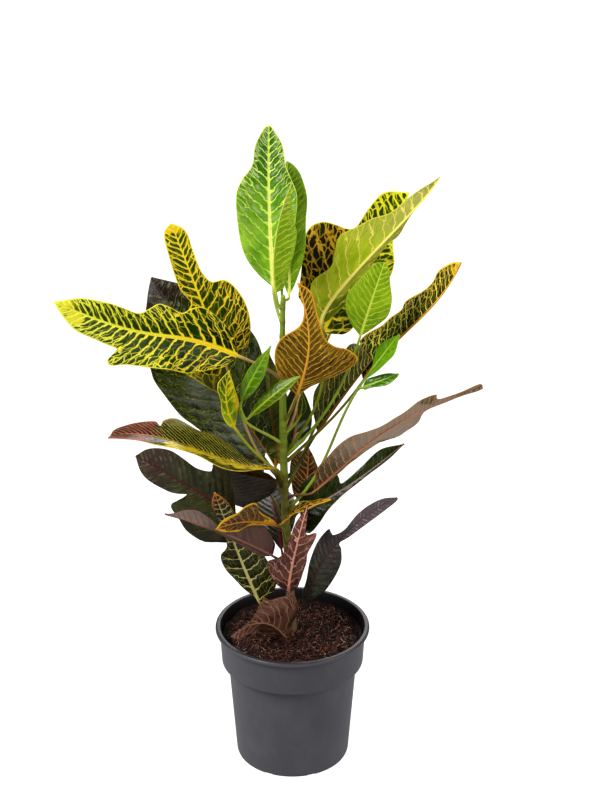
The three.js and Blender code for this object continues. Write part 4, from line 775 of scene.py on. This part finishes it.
children = {}
for row in leafRows:
    own = leafLooks.get(row["name"], ["", "", {}])
    row["look"] = {**plain, **lookOf(*skins[row["skin"]]), **lookOf(*own)}
    if "from" in row:
        children[row["from"][0]] = row
stalks, leafMaterials = {}, {}
for number, row in enumerate(leafRows):
    if "from" in row:
        continue
    group = [row] + ([children[row["name"]]] if row["name"] in children else [])
    points, faces, marks, slots, materials = [], [], {}, [], []
    for member in group:
        key = member["name"] if member["name"] in leafLooks else member["skin"]
        if key not in leafMaterials:
            leafMaterials[key] = leafMaterial("crotonLeaf_" + key, member["look"])
        memberNumber = number + leafSizes["tailSeed"] * len(materials)
        more, moreFaces, moreMarks = leafPiece(member, memberNumber, stalks)
        offset = sum(len(p) for p in points)
        points.append(more)
        faces += [tuple(k + offset for k in f) for f in moreFaces]
        slots += [len(materials)] * len(moreFaces)
        materials.append(leafMaterials[key])
        for label, values in moreMarks.items():
            marks[label] = np.vstack([marks[label], values]) if label in marks else values
    piece = meshObject("leaf_" + row["name"], np.vstack(points), faces, marks)
    for material in materials:
        piece.data.materials.append(material)
    piece.data.polygons.foreach_set("material_index", slots)
    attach(piece, "root")
    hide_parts(row["name"])
print("leaves made")


# Pot: injection-moulded polypropylene, so satin with a faint moulding texture and a few rubbed places.
# Noises are the blotches, the streaks and the grain: a size in millimetres, a detail and a roughness.
vessel = {
    "height": 160, "lipRadius": 85, "lipHeight": 4.5, "collarTop": 80.6, "collarFoot": 78.2, "collarDrop": 42,
    "step": 4, "bodyTop": 71, "bodyFoot": 62.6, "wall": 1.8, "sides": 160, "corner": 0.7,
    "lipGap": 0.5, "lipUnder": 0.6, "lipRound": 1.4, "lipSlope": [0.2, 1.2], "lipCrown": 1.6,
    "mouth": [0.8, 1], "footRound": [0.6, 1.6], "footTop": 4, "disc": 22, "discSlope": 2, "discInside": 3,
    "ringInner": 52, "ringOuter": 59, "recess": 3, "floor": 3,
    "drains": 8, "drainWidth": 9, "drainHeight": 5, "drainInner": 50, "drainOuter": 70, "drainStart": 20,
    # inside is the dark tone of the painted shade on the inner wall and on the top of the lip
    "colour": "#545359", "worn": "#6c6a71", "inside": "#232122", "ior": 1.49,
    "noises": [[45, 5.0, 0.6], [2.5, 3.0], [0.6, 2.0]], "streakLong": 0.12, "streakWear": 0.2,
    "wear": [0.45, 0.75, 0.0, 0.5], "rough": [0.0, 0.6, 0.4, 0.52], "grainBump": [0.12, 0.1],
    # the last three values place the painted shade of the inner wall and of the lip's top
    "paintedShadeSoft": 0.3, "paintedShadeFrom": [1, 2], "lipPaintedShade": [1.8, 0.6, 0.7],
}
lipFoot, collarFoot = vessel["height"] - vessel["lipHeight"], vessel["height"] - vessel["collarDrop"]
stepFoot, floorTop = collarFoot - vessel["step"], vessel["recess"] + vessel["floor"]


def wallRadius(z):
    return float(np.interp(z, [0, stepFoot, collarFoot, vessel["height"]],
                           [vessel[key] for key in ("bodyFoot", "bodyTop", "collarFoot", "collarTop")]))


def innerRadius(z, gap=0.0):
    return wallRadius(z) - vessel["wall"] - gap


def roundedProfile(corners, radius):
    # each corner becomes a small arc, so smooth shading keeps the flats flat
    corners = np.asarray(corners, float)
    line = [corners[0]]
    for a, b, c in zip(corners, corners[1:], corners[2:]):
        near = min(radius, 0.45 * np.linalg.norm(b - a), 0.45 * np.linalg.norm(c - b))
        start, end = b + unit(a - b) * near, b + unit(c - b) * near
        line += [(1 - t) ** 2 * start + 2 * t * (1 - t) * b + t ** 2 * end for t in (0, 0.33, 0.67, 1)]
    return np.array(line + [corners[-1]])


def lathe(profile, sides):
    # profile of [radius, height] that starts and ends on the axis
    turn = np.linspace(0, 2 * math.pi, sides, endpoint=False)
    rings = [np.stack([r * np.cos(turn), r * np.sin(turn), np.full(sides, z)], 1) for r, z in profile[1:-1]]
    points = np.vstack([[[0, 0, profile[0][1]]]] + rings + [[[0, 0, profile[-1][1]]]])
    return points, ringFaces(len(rings), sides)


def settled(piece):
    # the piece keeps the plain mesh that its modifiers make
    bpy.context.view_layer.update()
    made = bpy.data.meshes.new_from_object(piece.evaluated_get(bpy.context.evaluated_depsgraph_get()))
    piece.modifiers.clear()
    piece.data = made


top, rim, disc, slope = vessel["height"], vessel["lipRadius"], vessel["disc"], vessel["discSlope"]
lipIn, lipDown = vessel["lipSlope"]
footIn, footUp = vessel["footRound"]
mouthOut, mouthDown = vessel["mouth"]
corners = [
    (0, 0), (disc, 0), (disc + slope, vessel["recess"]), (vessel["ringInner"] - slope, vessel["recess"]),
    (vessel["ringInner"], 0), (vessel["ringOuter"], 0), (vessel["bodyFoot"] - footIn, footUp),
    (wallRadius(vessel["footTop"]), vessel["footTop"]), (vessel["bodyTop"], stepFoot),
    (vessel["collarFoot"], collarFoot), (wallRadius(lipFoot - vessel["lipGap"]), lipFoot - vessel["lipGap"]),
    (rim - vessel["lipUnder"], lipFoot), (rim, lipFoot + vessel["lipRound"]), (rim - lipIn, top - lipDown),
    (rim - vessel["lipCrown"], top), (innerRadius(top) + mouthOut, top),
    (innerRadius(lipFoot), lipFoot - mouthDown), (innerRadius(collarFoot), collarFoot),
    (innerRadius(stepFoot), stepFoot), (innerRadius(floorTop), floorTop),
    (disc + vessel["discInside"], floorTop), (disc, vessel["floor"]), (0, vessel["floor"]),
]
pot = meshObject("nursery_pot", *lathe(roundedProfile(corners, vessel["corner"]), vessel["sides"]))
notchPoints, notchFaces = [], []
for k in range(vessel["drains"]):
    turn = math.radians(vessel["drainStart"]) + 2 * math.pi * k / vessel["drains"]
    sine, cosine = math.sin(turn), math.cos(turn)
    inner, outer, y = vessel["drainInner"], vessel["drainOuter"], vessel["drainWidth"] / 2
    for height in (-vessel["drainHeight"] / 2, vessel["drainHeight"] / 2):
        for out, off in ((inner, -y), (outer, -y), (outer, y), (inner, y)):
            notchPoints.append((out * cosine - off * sine, out * sine + off * cosine, height))
    b = 8 * k
    notchFaces += [(b + 3, b + 2, b + 1, b), (b + 4, b + 5, b + 6, b + 7)]
    notchFaces += [(b + i, b + (i + 1) % 4, b + 4 + (i + 1) % 4, b + 4 + i) for i in range(4)]
notches = meshObject("drain_notches", notchPoints, notchFaces)
cut = pot.modifiers.new("drains", "BOOLEAN")
cut.operation, cut.solver, cut.object = "DIFFERENCE", "EXACT", notches
settled(pot)
bpy.data.objects.remove(notches)

potMaterial, tree = freshMaterial("mouldedPolypropylene")
coords = put(tree, "ShaderNodeTexCoord", out="Object")
streaked = put(tree, "ShaderNodeMapping", {"Vector": coords, "Scale": (1.0, 1.0, vessel["streakLong"])})
blotch, streak, grain = (
    put(tree, "ShaderNodeTexNoise", [where, None, 1 / (size * mm), *rest])
    for where, (size, *rest) in zip((coords, streaked, coords), vessel["noises"]))
wear = put(tree, "ShaderNodeMapRange", [blotch, *vessel["wear"]])
wear = put(tree, "ShaderNodeMath", [streak, vessel["streakWear"], wear], **timesPlus)
# painted shade that darkens the inner wall above the soil
across, along, up = put(tree, "ShaderNodeSeparateXYZ", [coords]).node.outputs
flatPlace = put(tree, "ShaderNodeCombineXYZ", [across, along])
reach = put(tree, "ShaderNodeVectorMath", [flatPlace], out="Value", operation="LENGTH")
taper = (vessel["collarTop"] - vessel["collarFoot"]) / vessel["collarDrop"]
wallLine = (vessel["collarFoot"] - vessel["wall"] / 2 - taper * collarFoot) * mm
reach = put(tree, "ShaderNodeMath", [up, -taper, reach], **timesPlus)
inside = put(tree, "ShaderNodeMapRange", [reach, wallLine - vessel["paintedShadeSoft"] * mm, wallLine, 1.0, 0.0])
first, last = ((collarFoot + rise) * mm for rise in vessel["paintedShadeFrom"])
collarOnly = put(tree, "ShaderNodeMapRange", [up, first, last])
inside = put(tree, "ShaderNodeMath", [inside, collarOnly], **times)
# and painted shade on the top of the lip, which dims its highlight
low, high, depth = vessel["lipPaintedShade"]
lipShadeMask = put(tree, "ShaderNodeMapRange", [up, (top - low) * mm, (top - high) * mm, 0.0, depth])
colour = linear(vessel["colour"])
for factor, tone in ((wear, "worn"), (inside, "inside"), (lipShadeMask, "inside")):
    colour = put(tree, "ShaderNodeMix", {0: factor, 6: colour, 7: linear(vessel[tone])}, **mixed)
rough = put(tree, "ShaderNodeMapRange", [wear, *vessel["rough"]])
strength, depth = vessel["grainBump"]
bump = put(tree, "ShaderNodeBump", {"Height": grain, "Strength": strength, "Distance": depth * mm})
plastic = {"Base Color": colour, "Roughness": rough, "Normal": bump, "IOR": vessel["ior"]}
put(tree, "ShaderNodeOutputMaterial", [put(tree, "ShaderNodeBsdfPrincipled", plastic)], out=None)
pot.data.materials.clear()
pot.data.materials.append(potMaterial)
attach(pot, "root")
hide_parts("pot")
print("pot made")


# Soil: moist peat with crumbs, bark chips, bark strands and coir fibres. Each scatter: name, shape, inset
# from the soil's edge, count, size, width, what is added to the seed, material, two tones, noise size.
peat = {
    "top": 148, "heaps": [1.32, 0.05, 0.06], "folds": [0.6, 0.17, 0.11], "mound": [2.5, 324],
    "lumps": [0.7, 0.9, 0.8], "lumpBends": [[2, 0.31], [1.7, 0.27]], "grid": 2.0, "sides": 150, "gap": 0.6,
    "floorGap": 0.3, "footGap": 0.7, "seed": 7,
    "dark": "#140a07", "brown": "#3c231b", "red": "#6c3a28", "rust": "#7c4430", "fibre": "#d4b898",
    "straw": "#8a6048", "ior": 1.4, "toneDetail": [5.0, 0.7], "toneEdge": [0.38, 0.68],
    "rough": [0.3, 0.7, 0.95, 0.6], "fine": [0.9, 3.0], "bump": [0.9, 0.6],
    "groundRings": 23, "groundSides": 60, "crumbNoise": 420.0, "fibreArc": [7, 1.3], "fibreSides": 3,
    "fibreMiddle": (-0.8, -0.6, 0.2), "fibreTilt": 0.5, "scaleLeast": (0.5, 0.3, 0.2),
    "scaleMost": (1.6, 0.8, 0.6),
}
scatters = [
    ["soil_crumbs", "crumb", 4, 2600, 2.6, 2.0, 0, "peatCrumb", ["dark", "brown"], 4],
    ["bark_chips", "crumb", 7, 260, 3.75, 5.0, 1, "barkChip", ["brown", "red"], 7],
    ["coir_fibres", "fibre", 10, 460, 9, 0.45, 2, "coirFibre", ["straw", "fibre"], 9],
    ["bark_strands", "fibre", 12, 520, 11, 0.8, 3, "barkStrand", ["brown", "rust"], 12],
]


def soilHeight(x, y):
    heap, heapX, heapY = peat["heaps"]
    fold, foldX, foldY = peat["folds"]
    mound, spread = peat["mound"]
    lump, lumpX, lumpY = peat["lumps"]
    (bendY, waveY), (bendX, waveX) = peat["lumpBends"]
    heaps = np.sin(x * heapX + 1) * np.cos(y * heapY) + fold * np.sin(x * foldX + y * foldY)
    small = np.sin(x * lumpX + bendY * np.sin(y * waveY)) * np.sin(y * lumpY + bendX * np.sin(x * waveX))
    return peat["top"] + heap * heaps + mound * np.exp(-(x * x + y * y) / spread) + lump * small


def soilMaterial(name, codes, size):
    material, tree = freshMaterial(name)
    coords = put(tree, "ShaderNodeTexCoord", out="Object")
    coarse = put(tree, "ShaderNodeTexNoise", [coords, None, 1 / (size * mm), *peat["toneDetail"]])
    mix = put(tree, "ShaderNodeMapRange", [coarse, *peat["toneEdge"]])
    first, second = (linear(peat[code]) for code in codes)
    colour = put(tree, "ShaderNodeMix", {0: mix, 6: first, 7: second}, **mixed)
    grit, detail = peat["fine"]
    fine = put(tree, "ShaderNodeTexNoise", [coords, None, 1 / (grit * mm), detail])
    strength, depth = peat["bump"]
    bump = put(tree, "ShaderNodeBump", {"Height": fine, "Strength": strength, "Distance": depth * mm})
    rough = put(tree, "ShaderNodeMapRange", [coarse, *peat["rough"]])
    earth = {"Base Color": colour, "Roughness": rough, "Normal": bump, "IOR": peat["ior"]}
    put(tree, "ShaderNodeOutputMaterial", [put(tree, "ShaderNodeBsdfPrincipled", earth)], out=None)
    return material


soilTop, soilEdge = peat["top"], innerRadius(peat["top"], peat["gap"])
overDisc, overFloor = vessel["floor"] + peat["floorGap"], floorTop + peat["floorGap"]
radii = np.linspace(0, soilEdge, int(soilEdge / peat["grid"]) + 1)[1:]
profile = [(0, overDisc), (disc - 1, overDisc), (disc + vessel["discInside"], overFloor),
           (innerRadius(floorTop, peat["footGap"]), overFloor)]
profile += [(innerRadius(z, peat["gap"]), z + peat["gap"]) for z in (stepFoot, collarFoot)]
profile += [(r, soilTop) for r in radii[::-1]] + [(0, soilTop)]
points, faces = lathe(profile, peat["sides"])
raised = points[:, 2] > soilTop - 0.1
points[raised, 2] = soilHeight(points[raised, 0], points[raised, 1])
soil = meshObject("potting_soil", points, faces)
soil.data.materials.append(soilMaterial("moistPeat", ["dark", "brown"], 5))


def scatterGround(radius):
    # open disc on the soil, as wide as the scattered things may spread
    rings, sides = peat["groundRings"], peat["groundSides"]
    turn = np.linspace(0, 2 * math.pi, sides, endpoint=False)
    ground = np.array([[radius * r / rings * math.cos(a), radius * r / rings * math.sin(a), 0]
                       for r in range(1, rings + 1) for a in turn])
    ground[:, 2] = soilHeight(ground[:, 0], ground[:, 1])
    quads = []
    for r in range(rings - 1):
        for k in range(sides):
            a, b = r * sides + k, r * sides + (k + 1) % sides
            quads.append((a, a + sides, b + sides, b))
    return ground, quads


def scatterTree(name, shape):
    # points on the ground, a shape on each in any turn and size, made real and given its material
    tree = bpy.data.node_groups.new(name, "GeometryNodeTree")
    for label, kind in (("Geometry", "Geometry"), ("count", "Float"), ("size", "Float"), ("width", "Float"),
                        ("seed", "Int"), ("material", "Material")):
        tree.interface.new_socket(label, in_out="INPUT", socket_type="NodeSocket" + kind)
    tree.interface.new_socket("Geometry", in_out="OUTPUT", socket_type="NodeSocketGeometry")
    given = put(tree, "NodeGroupInput").node.outputs
    dots = put(tree, "GeometryNodeDistributePointsOnFaces",
               {"Mesh": given["Geometry"], "Density": given["count"], "Seed": given["seed"]})
    if shape == "crumb":
        solid = put(tree, "GeometryNodeMeshIcoSphere", {"Radius": given["size"], "Subdivisions": 1})
        bumpy = put(tree, "ShaderNodeTexNoise", {"Scale": peat["crumbNoise"], "Detail": 1.0}, out="Color")
        shift = put(tree, "ShaderNodeVectorMath", [bumpy, (0.5, 0.5, 0.5)], operation="SUBTRACT")
        shift = put(tree, "ShaderNodeVectorMath", {0: shift, "Scale": given["width"]}, operation="SCALE")
        solid = put(tree, "GeometryNodeSetPosition", {"Geometry": solid, "Offset": shift})
    else:
        steps, sweep = peat["fibreArc"]
        arc = put(tree, "GeometryNodeCurveArc",
                  {"Resolution": steps, "Radius": given["size"], "Sweep Angle": sweep})
        middle = put(tree, "ShaderNodeVectorMath", {0: peat["fibreMiddle"], "Scale": given["size"]},
                     operation="SCALE")
        arc = put(tree, "GeometryNodeTransform", {"Geometry": arc, "Translation": middle})
        section = put(tree, "GeometryNodeCurvePrimitiveCircle",
                      {"Resolution": peat["fibreSides"], "Radius": given["width"]})
        solid = put(tree, "GeometryNodeCurveToMesh", {0: arc, 1: section})
    tilt = peat["fibreTilt"] if shape == "fibre" else math.pi
    spin = put(tree, "FunctionNodeRandomValue",
               {0: (-tilt, -tilt, 0.0), 1: (tilt, tilt, 2 * math.pi), "Seed": given["seed"]},
               data_type="FLOAT_VECTOR")
    sizes = put(tree, "FunctionNodeRandomValue",
                {0: peat["scaleLeast"], 1: peat["scaleMost"], "Seed": given["seed"]},
                data_type="FLOAT_VECTOR")
    many = put(tree, "GeometryNodeInstanceOnPoints",
               {"Points": dots, "Instance": solid, "Rotation": spin, "Scale": sizes})
    real = put(tree, "GeometryNodeRealizeInstances", {0: many})
    done = put(tree, "GeometryNodeSetMaterial", {"Geometry": real, "Material": given["material"]})
    tree.links.new(done, tree.nodes.new("NodeGroupOutput").inputs[0])
    return tree


scatterTrees = {"crumb": scatterTree("soilCrumbs", "crumb"), "fibre": scatterTree("coirFibres", "fibre")}
for name, shape, inset, count, size, width, seed, label, codes, noise in scatters:
    piece = meshObject(name, *scatterGround(soilEdge - inset))
    area = math.pi * ((soilEdge - inset) * mm) ** 2
    modifier = piece.modifiers.new("scatter", "NODES")
    tree = modifier.node_group = scatterTrees[shape]
    sockets = {item.name: item.identifier for item in tree.interface.items_tree if item.in_out == "INPUT"}
    values = {"count": count / area, "size": size * mm, "width": width * mm, "seed": peat["seed"] + seed,
              "material": soilMaterial(label, codes, noise)}
    for socket, value in values.items():
        modifier[sockets[socket]] = value
    settled(piece)
    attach(piece, "root")
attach(soil, "root")
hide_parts("soil")
print("soil made")


# Stem: green bark above, tan and cracked at the foot, with a ring where each leaf sits or has sat.
bark = {
    "green": "#8ea430", "olive": "#8a8434", "tan": "#8f7a5a", "scar": "#4c4228", "sides": 24, "step": 1.5,
    "foot": 122, "tip": 546, "tipShare": 0.5, "pathSteps": 24, "oldScars": [170, 300, 17.0], "scarWidth": 2.2,
    "scarHeight": 0.25, "scarMost": 1.5, "scarTone": 0.35, "streak": [2, 4.0], "streakLong": 0.2,
    "streakRise": 60.0, "lower": [200.0, 290.0], "upper": [330.0, 430.0], "bump": [0.5, 0.4], "rough": 0.55,
    "ior": 1.45,
}
heights = np.arange(bark["foot"], bark["tip"], bark["step"])
line = smoothLine(stemSizes["path"], bark["pathSteps"])
centres = np.stack([np.interp(heights, line[:, 2], line[:, 0]), np.interp(heights, line[:, 2], line[:, 1]),
                    heights], 1)
seats = [row["at"] for row in leafRows if "from" not in row] + list(np.arange(*bark["oldScars"]))
scars = sum(np.exp(-((heights - z) / bark["scarWidth"]) ** 2) for z in seats)
radii = np.array([stemRadius(z) for z in heights]) + bark["scarHeight"] * np.clip(scars, 0, bark["scarMost"])
radii[-1] *= bark["tipShare"]
points, faces = tube(centres, radii, bark["sides"], (0, -1, 0))
ring = np.clip(np.concatenate([scars[:1], np.repeat(scars, bark["sides"]), scars[-1:]]), 0, 1)
stem = meshObject("stem_bark", points, faces, {"barkPlace": np.stack([ring, points[:, 2], 0 * ring], 1)})
stemMaterial, tree = freshMaterial("crotonBark")
mark = put(tree, "ShaderNodeAttribute", out="Vector", attribute_name="barkPlace")
scar, height = put(tree, "ShaderNodeSeparateXYZ", [mark]).node.outputs[:2]
coords = put(tree, "ShaderNodeTexCoord", out="Object")
stretched = put(tree, "ShaderNodeMapping", {"Vector": coords, "Scale": (1.0, 1.0, bark["streakLong"])})
size, detail = bark["streak"]
streak = put(tree, "ShaderNodeTexNoise", [stretched, None, 1 / (size * mm), detail])
up = put(tree, "ShaderNodeMath", [streak, bark["streakRise"], height], **timesPlus)
lower, upper = (put(tree, "ShaderNodeMapRange", [up, *bark[band]]) for band in ("lower", "upper"))
dark = put(tree, "ShaderNodeMath", [scar, bark["scarTone"]], **times)
colour = linear(bark["tan"])
for factor, tone in ((lower, "olive"), (upper, "green"), (dark, "scar")):
    colour = put(tree, "ShaderNodeMix", {0: factor, 6: colour, 7: linear(bark[tone])}, **mixed)
strength, depth = bark["bump"]
bump = put(tree, "ShaderNodeBump", {"Height": streak, "Strength": strength, "Distance": depth * mm})
rind = {"Base Color": colour, "Roughness": bark["rough"], "Normal": bump, "IOR": bark["ior"]}
put(tree, "ShaderNodeOutputMaterial", [put(tree, "ShaderNodeBsdfPrincipled", rind)], out=None)
stem.data.materials.append(stemMaterial)
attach(stem, "root")
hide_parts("stem")
print("stem made")


# Studio: pale floor that runs out of view, white surroundings and three large soft lights. The floor is in
# millimetres, the lights' places and sizes in metres. Floor and world look brighter than they light things.
studio = {
    "floor": 9000, "floorDown": -0.3, "floorTone": 0.9, "floorGlow": 0.9, "seen": 1.08, "given": 0.42,
    "world": 0.24, "worldSeen": 1.0, "aim": (0, 0, 0.35),
    "lights": [("keyLight", (-1.7, -1.0, 2.2), 60, 1.1), ("fillLight", (1.9, -0.9, 1.7), 24, 1.3),
               ("rearLight", (0.3, 2.3, 1.5), 22, 1.6)],
}
reach, down = studio["floor"], studio["floorDown"]
floorPoints = [(x * reach, y * reach, down) for x, y in ((-1, -1), (1, -1), (1, 1), (-1, 1))]
floor = meshObject("studio_floor", floorPoints, [(0, 1, 2, 3)])
floorMaterial, tree = freshMaterial("paleFloor")
tone = studio["floorTone"]
soft = put(tree, "ShaderNodeBsdfDiffuse", {"Color": (tone, tone, tone, 1)})
ray = put(tree, "ShaderNodeLightPath", out="Is Camera Ray")
glowing = put(tree, "ShaderNodeMapRange", [ray, 0.0, 1.0, studio["given"], studio["seen"]])
lit = put(tree, "ShaderNodeEmission", {"Color": (1, 1, 1, 1), "Strength": glowing})
surface = put(tree, "ShaderNodeMixShader", [studio["floorGlow"], soft, lit])
put(tree, "ShaderNodeOutputMaterial", [surface], out=None)
floor.data.materials.append(floorMaterial)
world = bpy.data.worlds.new("studio")
bpy.context.scene.world = world
world.use_nodes = True
background = world.node_tree.nodes["Background"]
ray = put(world.node_tree, "ShaderNodeLightPath", out="Is Camera Ray")
bright = put(world.node_tree, "ShaderNodeMapRange", [ray, 0.0, 1.0, studio["world"], studio["worldSeen"]])
background.inputs["Color"].default_value = (1, 1, 1, 1)
world.node_tree.links.new(bright, background.inputs["Strength"])
for name, place, power, size in studio["lights"]:
    data = bpy.data.lights.new(name, "AREA")
    data.energy, data.size = power, size
    light = bpy.data.objects.new(name, data)
    light.location = place
    way = np.array(studio["aim"]) - np.array(place)
    tilt, turn = math.acos(-way[2] / np.linalg.norm(way)), math.atan2(way[1], way[0]) - math.pi / 2
    light.rotation_euler = (tilt, 0, turn)
    bpy.context.scene.collection.objects.link(light)
bpy.context.scene.view_settings.view_transform = "Standard"
bpy.context.scene.view_settings.look = "Medium High Contrast"
print("studio set")
